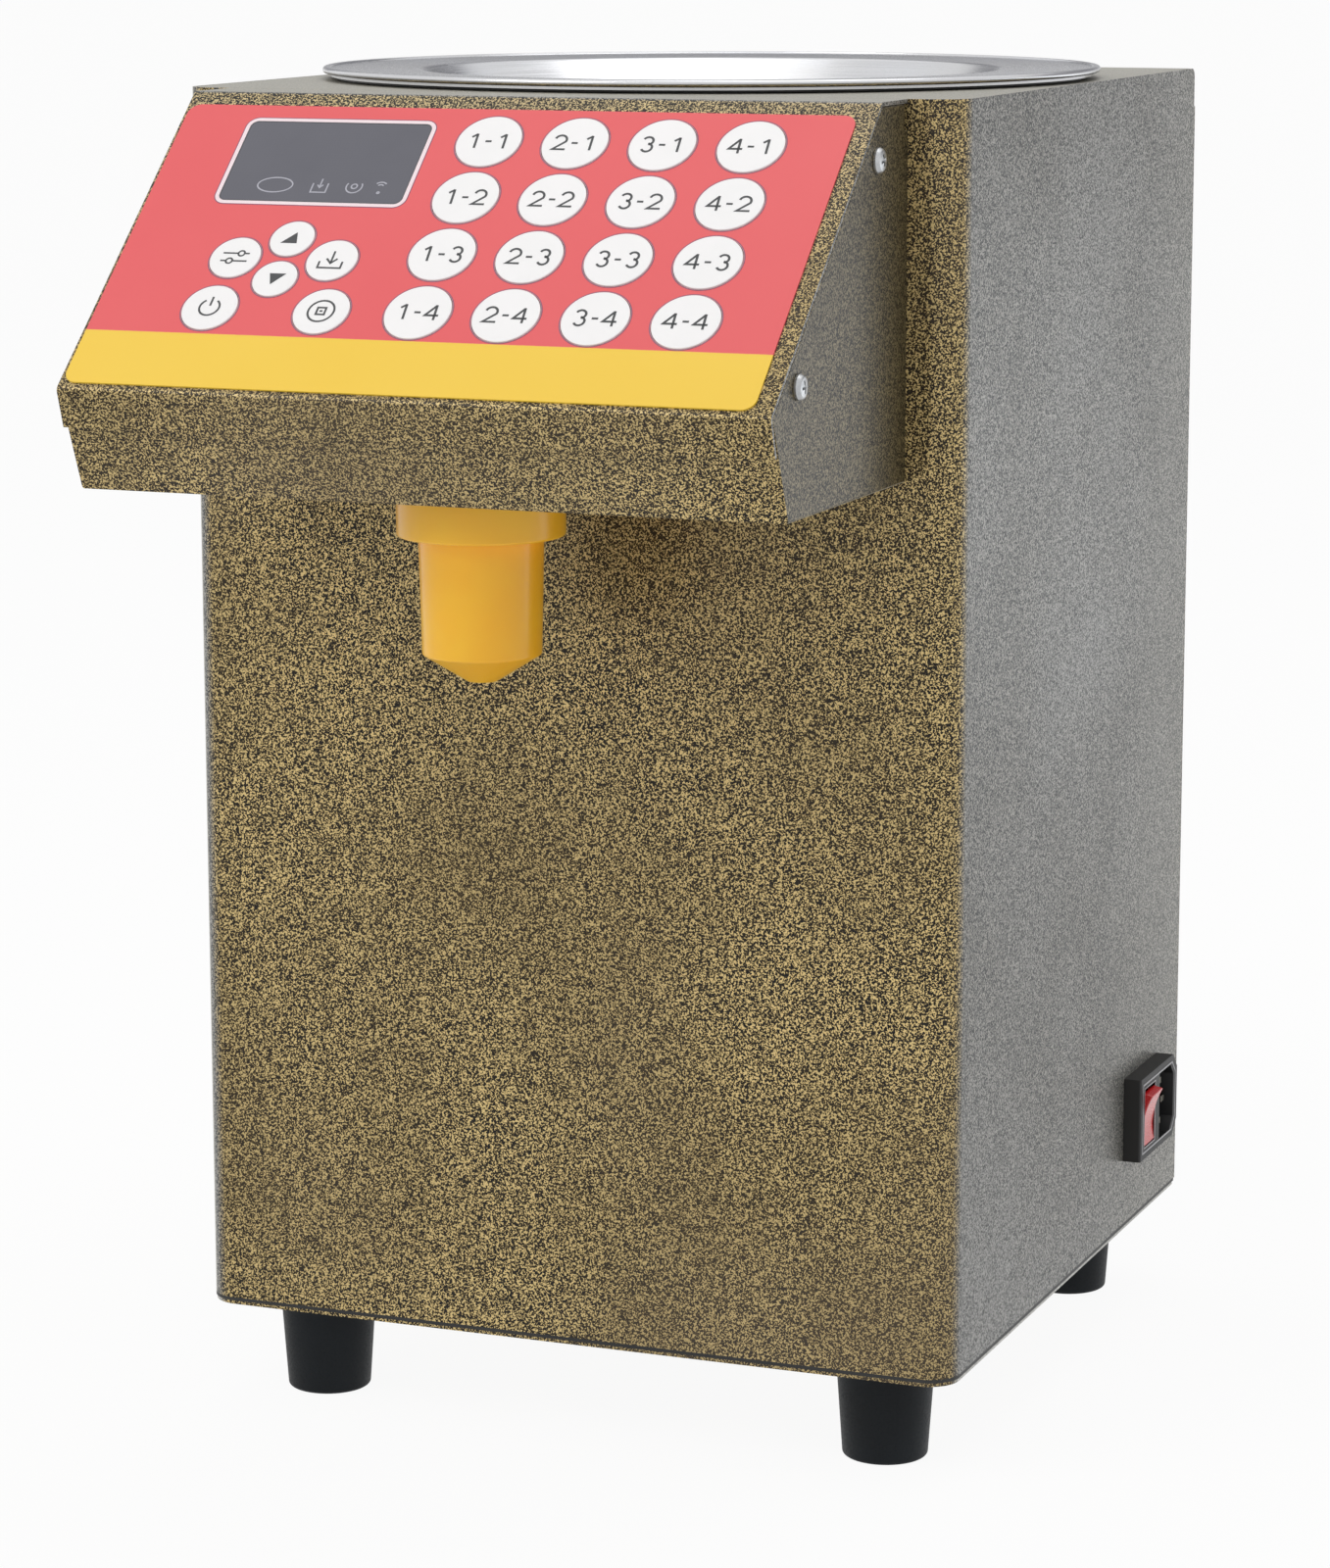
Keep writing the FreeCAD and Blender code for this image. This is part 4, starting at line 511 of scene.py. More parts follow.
def circuit_board():
    """Green varnish over copper: tracks show as slightly lighter, raised lines."""
    board = Finish("circuit_board")
    place = board.place()
    tracks = board.node("ShaderNodeTexBrick", {"offset": 0.5}, {
        "Vector": place, "Scale": 160, "Mortar Size": 0.03, "Color1": (0, 0, 0, 1),
        "Color2": (0.1, 0.1, 0.1, 1), "Mortar": (1, 1, 1, 1)})
    cloud = board.noise(place, 50, 3)
    base = board.tint(cloud, shade(22, 84, 52), shade(30, 98, 60))
    return board.surface(Base_Color=board.tint(tracks, base, shade(66, 132, 84)),
                         Roughness=board.spread(cloud, 0.3, 0.7, 0.3, 0.42),
                         Coat_Weight=0.3, Normal=board.bump(tracks, 0.03, 0.5))


def supply_case():
    """Galvanised sheet: flat crystals, each with its own shade and gloss."""
    sheet = Finish("supply_case")
    inputs = {"Vector": sheet.place(), "Scale": 140}
    crystal = sheet.node("ShaderNodeTexVoronoi", inputs=inputs, output="Color")
    level = sheet.node("ShaderNodeSeparateColor", inputs={0: crystal})
    return sheet.surface(Base_Color=sheet.tint(level, shade(150, 153, 156), shade(190, 192, 194)),
                         Metallic=0.9, Roughness=sheet.spread(level, 0, 1, 0.28, 0.48))


def motor_paint():
    """Baked enamel on the motor: near black, faintly orange-peeled."""
    paint = Finish("motor_paint")
    peel = paint.noise(paint.place(), 700, 1)
    colour = paint.tint(peel, shade(38, 42, 48), shade(56, 60, 66))
    return paint.grained(colour, peel, (0.25, 0.4), 0.05, 0.4, Coat_Weight=0.3)


# %% [markdown]
# ## A finish for every slot
#
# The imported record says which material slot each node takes. A dictionary from slot to finish
# dresses them all in one loop, so no node is left in plain grey.

# %% Dressing the nodes
mouldings = {
    "display_glass": ((34, 40, 44), (44, 50, 54), 900, (0.1, 0.2), 0.01, 0.5),
    "switch_plastic": ((26, 26, 28), (36, 36, 38), 2600, (0.35, 0.55), 0.03),
    "foot_rubber": ((8, 13, 17), (16, 22, 27), 1500, (0.42, 0.6), 0.05, 0, 0.2),
    "seal_rubber": ((20, 20, 20), (34, 34, 33), 1200, (0.4, 0.6), 0.04),
    "hose_rubber": ((206, 204, 196), (222, 220, 212), 900, (0.25, 0.4), 0.03, 0.2),
    "cable_jacket": ((92, 94, 98), (108, 110, 114), 1800, (0.4, 0.6), 0.03),
    "nozzle_plastic": ((255, 185, 18), (255, 195, 30), 1400, (0.28, 0.42), 0.03, 0.25),
    "inlet_plastic": ((8, 8, 9), (16, 16, 18), 3000, (0.42, 0.6), 0.02),
    "rocker_plastic": ((196, 22, 28), (214, 32, 36), 2400, (0.2, 0.34), 0.02, 0.3),
    "grey_trim": ((150, 150, 154), (172, 172, 175), 2600, (0.25, 0.4), 0.01),
}
finishes = {name: moulded(name, *how) for name, how in mouldings.items()}
for make in (overlay_film, smoked_window, key_plastic, stainless, zinc_steel, inlet_brass,
             circuit_board, supply_case, motor_paint):
    finishes[make.__name__] = make()
# The case's painted sheen: the grey colours that the paint takes at a low angle.
finishes["hammertone_paint"] = hammertone_paint(
    "hammertone_paint", [(54, 56, 56), (150, 151, 151)], 0.9)


def dress(piece, finish):
    """Gives a piece one finish, whatever slots it came with."""
    piece.data.materials.clear()
    piece.data.materials.append(finish)
    for face in piece.data.polygons:
        face.material_index = 0


slot_of = {part["node"]: part["material_slot"] for part in frame["record"]["subparts"]}
for name, node in nodes.items():
    dress(node, finishes[slot_of[name]])
print("dressed", len(slot_of), "nodes in", len(set(slot_of.values())), "finishes")

# %% [markdown]
# ## Sheet metal with soft edges
#
# Folded and painted steel has no knife edges: each fold has a radius, and the paint rounds every
# cut edge. The frame's solids have the folds but not the paint's small round. A merged copy of the
# solid with a Bevel modifier has both, and the bevel catches the light as the real edge does. A
# copy of a CAD mesh is loose triangles, so its doubles are merged first and its flat faces joined.


# %% Easing the edges of a node
touching = 0.002 * mm


def smooth(mesh, sharp):
    """Shades a mesh smooth up to an angle in degrees."""
    mesh.shade_smooth()
    mesh.set_sharp_from_angle(angle=math.radians(sharp))
    return mesh


def settle(mesh, sharp=32):
    """Merges doubles, turns every face outwards, and shades smooth."""
    form = bmesh.new()
    form.from_mesh(mesh)
    bmesh.ops.remove_doubles(form, verts=form.verts, dist=touching)
    bmesh.ops.recalc_face_normals(form, faces=form.faces)
    form.to_mesh(mesh)
    form.free()
    return smooth(mesh, sharp)


def piece_from(name, mesh, finish, body="case", stands_for=()):
    """A finished piece: its mesh in the frame, its finish, its body, and what it replaces."""
    made = placed(name, mesh)
    dress(made, finishes[finish])
    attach(made, body)
    if stands_for:
        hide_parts(*stands_for)
    return made


def rounded(piece, width, steps, angle, harden=True):
    """Rounds the edges where a piece's faces meet at more than an angle in degrees."""
    bevel = piece.modifiers.new("round", "BEVEL")
    bevel.width = width * mm
    bevel.segments = steps
    bevel.limit_method = "ANGLE"
    bevel.angle_limit = math.radians(angle)
    bevel.harden_normals = harden
    return piece


def eased(node_name, finish, width, name, steps=2):
    """A node's solid with its edges rounded by a bevel of the given width."""
    mesh = nodes[node_name].data.copy()
    flat, sharp = math.radians(0.6), 35
    form = bmesh.new()
    form.from_mesh(mesh)
    bmesh.ops.remove_doubles(form, verts=form.verts, dist=touching)
    bmesh.ops.dissolve_limit(form, angle_limit=flat, verts=form.verts, edges=form.edges)
    form.to_mesh(mesh)
    form.free()
    smooth(mesh, sharp)
    return rounded(piece_from(name, mesh, finish, "case", [node_name]), width, steps, sharp)


print("helpers that merge, smooth and round")

# %% [markdown]
# The tray under the head lies in shade, and the base plate stands out of it paler than the case.
# Both keep the paint's slot, with sheen colours of their own: darker ones on the tray, a painted
# shade, and paler ones on the base plate, a brighter painted sheen.

# %% The painted sheets
# Painted shade on the tray, and a paler painted sheen on the base plate.
sheen_and_shade_variants = {"head_tray": ("shaded_hammertone", [(14, 12, 4), (74, 68, 50)], 0.8),
         "base_plate": ("pale_hammertone", [(150, 150, 147), (214, 213, 208)], 0.95)}
paint_rounds = {"body_shell": 0.45, "head_tray": 0.45, "head_cover": 0.5, "base_plate": 0.4,
                "top_plate": 0.4, "rear_cover": 0.4}
for part, width in paint_rounds.items():
    folded = eased(part, "hammertone_paint", width, f"{part}_painted")
    if part in sheen_and_shade_variants:
        dress(folded, hammertone_paint(*sheen_and_shade_variants[part]))
print("rounded the edges of", len(paint_rounds), "painted sheets")

# %% [markdown]
# ## Geometry Nodes as plain sums too
#
# A geometry tree is written like a material: nodes by their types, and sums on readings. It starts
# from the modifier's own mesh, has named inputs for its sizes, and always ends by making its
# instances real and giving them their finish.


# %% A geometry tree and its modifier
class Shaping(Finish):
    """A geometry tree with named inputs."""

    def __init__(self, name, **given):
        self.tree = bpy.data.node_groups.new(name, "GeometryNodeTree")
        sockets = self.tree.interface
        sockets.new_socket("Start", in_out="INPUT", socket_type="NodeSocketGeometry")
        for label, kind in {**given, "Finish": "Material"}.items():
            sockets.new_socket(label, in_out="INPUT", socket_type="NodeSocket" + kind)
        sockets.new_socket("Made", in_out="OUTPUT", socket_type="NodeSocketGeometry")
        self.given = self.tree.nodes.new("NodeGroupInput")

    def input(self, label):
        return Reading(self, self.given.outputs[label])

    def mark(self, label, kind="FLOAT"):
        """A number or a direction that each starting point carries."""
        return self.node("GeometryNodeInputNamedAttribute", {"data_type": kind}, {"Name": label})

    def end(self, geometry):
        real = self.node("GeometryNodeRealizeInstances", inputs={0: geometry})
        inputs = {0: real, "Material": self.input("Finish")}
        done = self.node("GeometryNodeSetMaterial", inputs=inputs)
        self.node("NodeGroupOutput", inputs={0: done})
        return self


def shaped(shaping, start, **values):
    """Runs a geometry tree on a starting mesh and gives its result as a plain mesh."""
    rough = placed("rough", start)
    modifier = rough.modifiers.new("shaping", "NODES")
    modifier.node_group = shaping.tree
    for item in shaping.tree.interface.items_tree:
        if item.in_out == "INPUT" and item.name in values:
            modifier[item.identifier] = values[item.name]
    return result_of(rough)


def points_mesh(points, joined=False):
    """Points as a mesh for a tree to start from, loose or joined in a line."""
    mesh = bpy.data.meshes.new("points")
    mesh.from_pydata(points, [(i, i + 1) for i in range(len(points) - 1)] if joined else [], [])
    return mesh


def marked(mesh, label, values, kind="FLOAT", field="value"):
    """Gives each point of a mesh a number or a direction, under a label that a tree reads."""
    made = mesh.attributes.new(label, kind, "POINT")
    for item, value in zip(made.data, values):
        setattr(item, field, value)


print("trees start from points and end as meshes")

# %% [markdown]
# ## Turned pieces
#
# The lid, the nozzle and the feet follow one rule: an outline turned round an axis. The tree lays
# a grid with one column for each step of the turn, gives each of its points the outline's point
# of the same row, and turns it by its column's share of a full circle. Where the outline meets
# the axis, or comes back to its start, merging by distance closes the pole or the seam.


# %% The turning tree
def turning():
    tree = Shaping("turning", Steps="Int")
    outline, steps = tree.input("Start"), tree.input("Steps")
    count = tree.node("GeometryNodeAttributeDomainSize", {"component": "MESH"}, {0: outline})
    inputs = {"Vertices X": steps + 1, "Vertices Y": count}
    grid = tree.node("GeometryNodeMeshGrid", inputs=inputs)
    index = tree.node("GeometryNodeInputIndex")
    column = (index / count).sum("FLOOR")
    row = index.sum("MODULO", count)
    spot = tree.node("GeometryNodeInputPosition")
    inputs = {"Geometry": outline, "Value": spot, "Index": row}
    on_outline = tree.node("GeometryNodeSampleIndex", {"data_type": "FLOAT_VECTOR"}, inputs)
    inputs = {"Vector": on_outline, "Angle": column / steps * (2 * math.pi)}
    turned_point = tree.node("ShaderNodeVectorRotate", {"rotation_type": "Z_AXIS"}, inputs)
    wall = tree.node("GeometryNodeSetPosition", inputs={0: grid, "Position": turned_point})
    inputs = {0: wall, "Distance": 0.001 * mm}
    return tree.end(tree.node("GeometryNodeMergeByDistance", inputs=inputs))


turning_tree = turning()


def softened(corners, closed=True):
    """Outline points (radius, height, rounding) in millimetres, with an arc for each rounding."""
    arc_steps = 6
    points = []
    total = len(corners)
    spots = [Vector((r, 0, z)) * mm for r, z, _ in corners]
    for i, (here, (_, _, rounding)) in enumerate(zip(spots, corners)):
        if not rounding or (not closed and i in (0, total - 1)):
            points.append(here)
            continue
        inward = (spots[i - 1] - here).normalized()
        onward = (spots[(i + 1) % total] - here).normalized()
        half = inward.angle(onward) / 2
        back_off = rounding * mm / math.tan(half)
        centre = here + (inward + onward).normalized() * (rounding * mm / math.sin(half))
        first, last = here + inward * back_off - centre, here + onward * back_off - centre
        for step in range(arc_steps + 1):
            ray = first.lerp(last, step / arc_steps).normalized()
            points.append(centre + ray * rounding * mm)
    return points + points[:1] if closed else points


def turned(corners, steps=96, closed=True, sharp=40):
    """A turned solid's mesh, round the Z axis."""
    outline = points_mesh(softened(corners, closed), joined=True)
    return settle(shaped(turning_tree, outline, Steps=steps), sharp)


print("outlines are turned in 96 steps, or as many as a piece asks for")

# %% [markdown]
# The lid is pressed from thin sheet: a rolled bead round the rim, a flat land, a round step and a
# shallow well. Its outline runs out along the top, round the bead, and back along the underside.

# %% The lid
lid = turned([
    (0, 410.0, 0), (83, 410.0, 5), (92, 419.0, 3), (121.1, 419.4, 0.5), (121.3, 420.0, 0.3),
    (123.5, 420.0, 0.95), (123.5, 418.0, 0.95), (121.1, 418.0, 0.3), (121.1, 418.6, 0.2),
    (92, 418.2, 3), (83, 409.2, 5), (0, 409.2, 0)], steps=144, closed=False)
piece_from("tank_lid_spun", lid, "stainless", "tank_lid", ["tank_lid"])
print("the lid has", len(lid.polygons), "faces")

# %% [markdown]
# The nozzle is two orange mouldings: a wide collar against the tray, and a cup with a coned end
# screwed into it. Both have small rounds at every edge, as a mould leaves them, and plain walls.

# %% The nozzle's collar and cup
nozzle_y = -183.3 * mm
nozzle = {
    "collar": [(7.1, 305.5, 0), (24.5, 305.5, 0.5), (24.5, 292.4, 0.9), (17.1, 292.4, 0.3),
               (17.1, 301.5, 0), (7.1, 301.5, 0)],
    "cup": [(14.7, 300.4, 0), (17, 300.4, 0.3), (17, 292.1, 0), (18.2, 292.1, 0.4),
            (17.4, 257.9, 0.8), (4.5, 249.9, 0.5), (3, 249.9, 0.3), (3, 255.0, 0),
            (14.7, 260.2, 0)]}
for part, corners in nozzle.items():
    mesh = turned(corners)
    mesh.transform(Matrix.Translation((0, nozzle_y, 0)))
    piece_from(f"nozzle_{part}_moulded", mesh, "nozzle_plastic", "case", [f"nozzle_{part}"])
    print("the", part, "has", len(mesh.polygons), "faces")

# %% [markdown]
# ## Feet and screws
#
# The same foot stands at four corners, and the same screw holds every sheet. One pattern of each
# is made, and a second tree sets it at points. Each point carries which way it faces and how far
# the piece is turned, because no fitter leaves two cross recesses in line.


# %% The spreading tree
def spreading():
    tree = Shaping("spreading", Pattern="Object")
    inputs = {"Vector": tree.mark("facing", "FLOAT_VECTOR")}
    toward = tree.node("FunctionNodeAlignRotationToVector", {"axis": "Z"}, inputs)
    spin = tree.node("FunctionNodeAxisAngleToRotation", inputs={"Angle": tree.mark("turn")})
    inputs = {"Rotation": toward, "Rotate By": spin}
    rotation = tree.node("FunctionNodeRotateRotation", {"rotation_space": "LOCAL"}, inputs)
    inputs = {"Object": tree.input("Pattern")}
    pattern = tree.node("GeometryNodeObjectInfo", inputs=inputs, output="Geometry")
    inputs = {"Points": tree.input("Start"), "Instance": pattern, "Rotation": rotation}
    return tree.end(tree.node("GeometryNodeInstanceOnPoints", inputs=inputs))


spreading_tree = spreading()


def spread_out(pattern_mesh, places, finish):
    """One pattern set at places: (x, y, z) in millimetres, a facing direction and a turn."""
    pattern = placed("pattern", pattern_mesh)
    spots = points_mesh([Vector(spot) * mm for spot, _, _ in places])
    marked(spots, "facing", [direction for _, direction, _ in places], "FLOAT_VECTOR", "vector")
    marked(spots, "turn", [angle for _, _, angle in places])
    made = shaped(spreading_tree, spots, Pattern=pattern, Finish=finishes[finish])
    bpy.data.objects.remove(pattern)
    return made


# %% Four feet
foot = turned([(6.5, 0, 0.4), (13.2, 0, 1.2), (15.4, 32, 0.5), (2.75, 32, 0), (2.75, 20, 0),
               (6.5, 20, 0)], steps=64)
foot_places = [((x, y, 0), (0, 0, 1), 0) for x in (-95, 95) for y in (-96, 96)]
feet = settle(spread_out(foot, foot_places, "foot_rubber"))
piece_from("rubber_feet_moulded", feet, "foot_rubber", "case", ["rubber_feet"])
print("four feet,", len(feet.polygons), "faces")

# %% [markdown]
# A pan head is a low dome with a cross recess for the driver. The dome is turned, and the recess
# is cut by two tapered wedges with exact booleans, once, before the pattern is repeated.


# %% One screw
def wedge(length, width, top, bottom):
    """A tapered bar along X, wider at its top, for one slot of the cross."""
    rings = []
    for z, share in ((bottom, 0.55), (top, 1.1)):
        x, y = length * share / 2, width * (0.6 + share * 0.4) / 2
        rings.append([(-x, -y, z), (x, -y, z), (x, y, z), (-x, y, z)])
    return prism(*rings)


def cross_screw():
    head = turned([(0, -5, 0), (1.9, -5, 0.3), (1.9, 0, 0), (3.75, 0, 0.2), (3.75, 0.9, 0.5),
                   (3.1, 1.95, 0.9), (0, 2.3, 0)], steps=32, closed=False, sharp=50)
    screw = placed("screw", head)
    cutters = [placed("cutter", wedge(4.2, 0.85, 2.6, 1.1)) for _ in range(2)]
    cutters[1].data.transform(Matrix.Rotation(math.pi / 2, 4, "Z"))
    for cutter in cutters:
        boolean = screw.modifiers.new("recess", "BOOLEAN")
        boolean.operation = "DIFFERENCE"
        boolean.solver = "EXACT"
        boolean.object = cutter
    made = result_of(screw)
    for cutter in cutters:
        bpy.data.objects.remove(cutter)
    made.set_sharp_from_angle(angle=math.radians(40))
    return made


print("a screw is cut once and then repeated")

# %% [markdown]
# Four screws hold the head's cheeks, ten the rear cover, four the flange of the head, and four
# the bracket of the pump.

# %% Every screw in its place
cheek_across, cheek_downs, cheek_off = 108.5, (14, 100.3), -9.1
cover_across, cover_low_across, cover_back = 118, 60, 124
flange_across, flange_front = 101.3, -125.2
bracket_across, bracket_top = 29, 35.2
screw_places = []
for side in (-1, 1):
    for down in cheek_downs:
        spot = on_slope @ (Vector((side * cheek_across, -down, cheek_off)) * mm) / mm
        screw_places.append((spot, (side, 0, 0), 0.4 + down))
    for height in (67.2, 175.2, 283.2, 391.2):
        spot = (side * cover_across, cover_back, height)
        screw_places.append((spot, (0, 1, 0), height * side))
    screw_places.append(((side * cover_low_across, cover_back, 40.7), (0, 1, 0), side))
    for height in (323.5, 397.5):
        screw_places.append(((side * flange_across, flange_front, height), (0, -1, 0), height))
    for depth in (30, 56):
        spot = (side * bracket_across, depth, bracket_top)
        screw_places.append((spot, (0, 0, 1), depth * side))
screws = spread_out(cross_screw(), screw_places, "zinc_steel")
piece_from("case_screws_turned", screws, "zinc_steel", "case", ["case_screws"])
print(len(screw_places), "screws,", len(screws.polygons), "faces")

# %% [markdown]
# ## What is printed and what is pressed
#
# Each key is a white button in a hole of the film. Round it the film has a pale pink rim, and a
# thin purple line that is painted shade, the shadow in the narrow gap round the key. All the rims
# follow one rule, a circle as large as its key and a little more, so a tree draws them: a circle at
# each point, scaled by the point's own radius, made real, and given a flat strip as its section.


# %% The ring tree
def ringing():
    tree = Shaping("ringing", Width="Float", Depth="Float", Gap="Float")
    inputs = {"Resolution": 72, "Radius": 1.0}
    circle = tree.node("GeometryNodeCurvePrimitiveCircle", inputs=inputs)
    inputs = {"Points": tree.input("Start"), "Instance": circle,
              "Scale": tree.mark("radius") + tree.input("Gap")}
    circles = tree.node("GeometryNodeInstanceOnPoints", inputs=inputs)
    real = tree.node("GeometryNodeRealizeInstances", inputs={0: circles})
    level = tree.node("GeometryNodeSetCurveNormal", {"mode": "Z_UP"}, {0: real})
    inputs = {"Width": tree.input("Width"), "Height": tree.input("Depth")}
    strip = tree.node("GeometryNodeCurvePrimitiveQuadrilateral", {"mode": "RECTANGLE"}, inputs)
    inputs = {"Curve": level, "Profile Curve": strip}
    return tree.end(tree.node("GeometryNodeCurveToMesh", inputs=inputs))


ringing_tree = ringing()

# %% Where every key is, in millimetres right and down the slope, and its radius
dose_keys = {}
for row in range(4):
    for column in range(4):
        spot = (-6.3 + 26.95 * column, 19.3 + 22.5 * row, 10)
        dose_keys[f"dose_key_{column + 1}_{row + 1}"] = spot
small_keys = {
    "key_up": (-54.9, 59.9, 6.8), "key_down": (-54.9, 75.7, 6.8), "key_set": (-70.3, 67.9, 7.8),
    "key_store": (-39.5, 67.9, 7.8), "key_power": (-71.3, 87.7, 8.5), "key_stop": (-36, 87.7, 8.5)}
every_key = {**dose_keys, **small_keys}
film_face, key_face = 0.5, 0.925
print(len(dose_keys), "dose keys and", len(small_keys), "small keys")


# %% Inks and rings
def print_ink(name, colour, second):
    """Screen-printed ink, also used for the painted gap shade round the keys: two close shades and
    the faint texture of the screen.
    """
    ink = Finish(name)
    place = slope_place(ink)
    weave = ink.noise(place, 5200, 1)
    tone = ink.tint(ink.noise(place, 300, 3), shade(*colour), shade(*second))
    return ink.grained(tone, weave, (0.35, 0.5), 0.01, 0.3)


inks = {"line_ink": ((150, 92, 118), (128, 78, 104)), "rim_ink": ((252, 214, 216), (246, 200, 204)),
        "dark_ink": ((58, 60, 62), (72, 74, 76)), "icon_ink": ((186, 186, 196), (168, 168, 180)),
        "border_ink": ((252, 236, 240), (246, 224, 230))}
for name, shades in inks.items():
    finishes[name] = print_ink(name, *shades)


def printed(name, mesh, ink, body="case"):
    """A piece of print, or of painted shade, with an ink of its own, on the body of what it lies
    on.
    """
    made = piece_from(name, mesh, ink, body)
    return made


def rings(name, ink, gap, width, depth):
    """One flat ring on the film round every key."""
    places = every_key.values()
    spots = points_mesh([(x * mm, -down * mm, film_face * mm) for x, down, _ in places])
    marked(spots, "radius", [radius * mm for _, _, radius in places])
    made = shaped(ringing_tree, spots, Width=width * mm, Depth=depth * mm, Gap=gap * mm,
                  Finish=finishes[ink])
    made.transform(on_slope)
    return printed(name, settle(made), ink)


rings("key_rims", "rim_ink", 0.3, 0.16, 0.08)
# The purple rings are painted shade, the shadow in the gap round each key.
lines = rings("key_lines", "line_ink", 0.44, 0.3, 0.1)
print("rings round", len(every_key), "keys:", len(lines.data.polygons), "faces")

# %% [markdown]
# The dose keys carry plain numbers, column and row. The small keys get plain signs instead of
# words: up and down arrows, two sliders for settings, an arrow into a tray for storing, and the
# usual signs for power and stop. Numbers and signs alike are lines of a steady width.


# %% Lines of a steady width
def on_key(mesh, key):
    """Moves a flat mesh, drawn about the origin, onto the top of a key."""
    x, down, _ = every_key[key]
    mesh.transform(on_slope @ Matrix.Translation((x * mm, -down * mm, key_face * mm)))
    return mesh


def drawn(width, lines=(), loops=(), thick=0.03):
    """A flat mesh of open lines and closed loops of points, in millimetres, of a steady width."""
    form = bmesh.new()
    for points, closed in [(line, False) for line in lines] + [(loop, True) for loop in loops]:
        points = [Vector(point) for point in points]
        total = len(points)
        sides = []
        for i, point in enumerate(points):
            before = points[i - 1] if i or closed else point * 2 - points[i + 1]
            after = points[(i + 1) % total] if i < total - 1 or closed else point * 2 - before
            first, second = (point - before).normalized(), (after - point).normalized()
            across = Vector((-first.y - second.y, first.x + second.x)).normalized()
            reach = width / 2 / max(0.4, across.dot(Vector((-first.y, first.x))))
            sides.append([point + across * reach, point - across * reach])
        ring = [[form.verts.new((p.x * mm, p.y * mm, z)) for z in (0, thick * mm) for p in pair]
                for pair in sides]
        for i in range(total if closed else total - 1):
            a, b = ring[i], ring[(i + 1) % total]
            for face in ((a[2], b[2], b[3], a[3]), (a[0], a[1], b[1], b[0]),
                         (a[0], b[0], b[2], a[2]), (a[1], a[3], b[3], b[1])):
                form.faces.new(face)
        if not closed:
            for end in (ring[0], ring[-1]):
                form.faces.new((end[0], end[2], end[3], end[1]))
    bmesh.ops.recalc_face_normals(form, faces=form.faces)
    return mesh_of(form, "drawn")


def arc(radius, first, last, steps, middle=(0, 0), squeeze=1.0):
    """Points of an arc, from one angle to another in degrees."""
    angles = [math.radians(first + (last - first) * i / steps) for i in range(steps + 1)]
    x, y = middle
    return [(x + radius * math.cos(a), y + radius * squeeze * math.sin(a)) for a in angles]


def filled(points, thick=0.03):
    """A flat filled shape with a given outline."""
    return prism(*[[(x, y, z) for x, y in points] for z in (0, thick)])


print("helpers for lines, arcs and filled shapes")

# %% Numbers on the dose keys
strokes = {
    "1": [[(0.55, -2.85), (0.55, 2.85)], [(-1.0, 1.5), (0.6, 2.7)]],
    "2": [arc(1.75, 165, -25, 14, (0, 1.1)) + [(-1.95, -2.7), (2.0, -2.7)]],
    "3": [arc(1.5, 155, -80, 12, (0, 1.35)), arc(1.6, 85, -155, 14, (0, -1.3))],
    "4": [[(0.95, -2.85), (0.95, 2.85)], [(0.95, 2.7), (-2.0, -1.1), (2.1, -1.1)]],
    "-": [[(-0.95, -0.1), (0.95, -0.1)]],
}
figure_gap, figure_width = 4.5, 0.72
lean = Matrix(((1, -0.06, 0, 0), (0, 1, 0, 0), (0, 0, 1, 0), (0, 0, 0, 1)))
for key in dose_keys:
    column, row = key.split("_")[-2:]
    figures = ((-figure_gap, column), (0, "-"), (figure_gap, row))
    number = drawn(figure_width, [[(x + spot, y) for x, y in points]
                                  for spot, figure in figures for points in strokes[figure]])
    number.transform(lean)
    printed(f"{key}_number", on_key(number, key), "dark_ink", key)
print("numbered", len(dose_keys), "keys")

# %% Signs on the small keys
signs = {
    "key_up": filled([(-3.1, -1.9), (2.1, -1.9), (1.0, 2.4)]),
    "key_down": filled([(-2.1, 1.9), (3.1, 1.9), (-0.6, -2.4)]),
    "key_set": drawn(0.55, [[(-4.2, 1.5), (0.6, 1.5)], [(2.6, 1.5), (4.2, 1.5)],
                            [(-4.2, -1.5), (-2.4, -1.5)], [(-0.4, -1.5), (4.2, -1.5)]],
                     [arc(1.0, 0, 345, 18, (1.6, 1.5)), arc(1.0, 0, 345, 18, (-1.4, -1.5))]),
    "key_store": drawn(0.6, [[(-3.6, -0.6), (-3.6, -3.1), (3.6, -3.1), (3.6, -0.6)],
                             [(0, 3.4), (0, -1.3)], [(-1.7, 0.5), (0, -1.3), (1.7, 0.5)]]),
    "key_power": drawn(0.62, [arc(3.1, 125, 415, 32), [(0, 4.0), (0, 0.6)]]),
    "key_stop": drawn(0.62, [[(-0.45, 0), (0.45, 0)]],
                      [arc(4.0, 0, 350, 35), [(-1.3, -1.3), (1.3, -1.3), (1.3, 1.3), (-1.3, 1.3)]]),
}
for key, sign in signs.items():
    printed(f"{key}_sign", on_key(sign, key), "dark_ink", key)
print("signs on", len(signs), "keys")

# %% [markdown]
# ## Round the window and in it
#
# A pale border with a thin line on each side frames the window, and four faint signs are printed
# low in its glass. All of them are lines on the slope, drawn by the same helper.


# %% The window's border and its faint signs
def rounded_box(left, right, high, low, radius):
    """Outline of a box with round corners, on the slope, in millimetres right and down."""
    points = []
    for x, y, first in ((right - radius, -high - radius, 0), (left + radius, -high - radius, 90),
                        (left + radius, -low + radius, 180), (right - radius, -low + radius, 270)):
        points += arc(radius, first, first + 90, 8, (x, y))
    return points


def on_film(name, mesh, ink, off):
    mesh.transform(on_slope @ Matrix.Translation((0, 0, off * mm)))
    return printed(name, mesh, ink, "case")


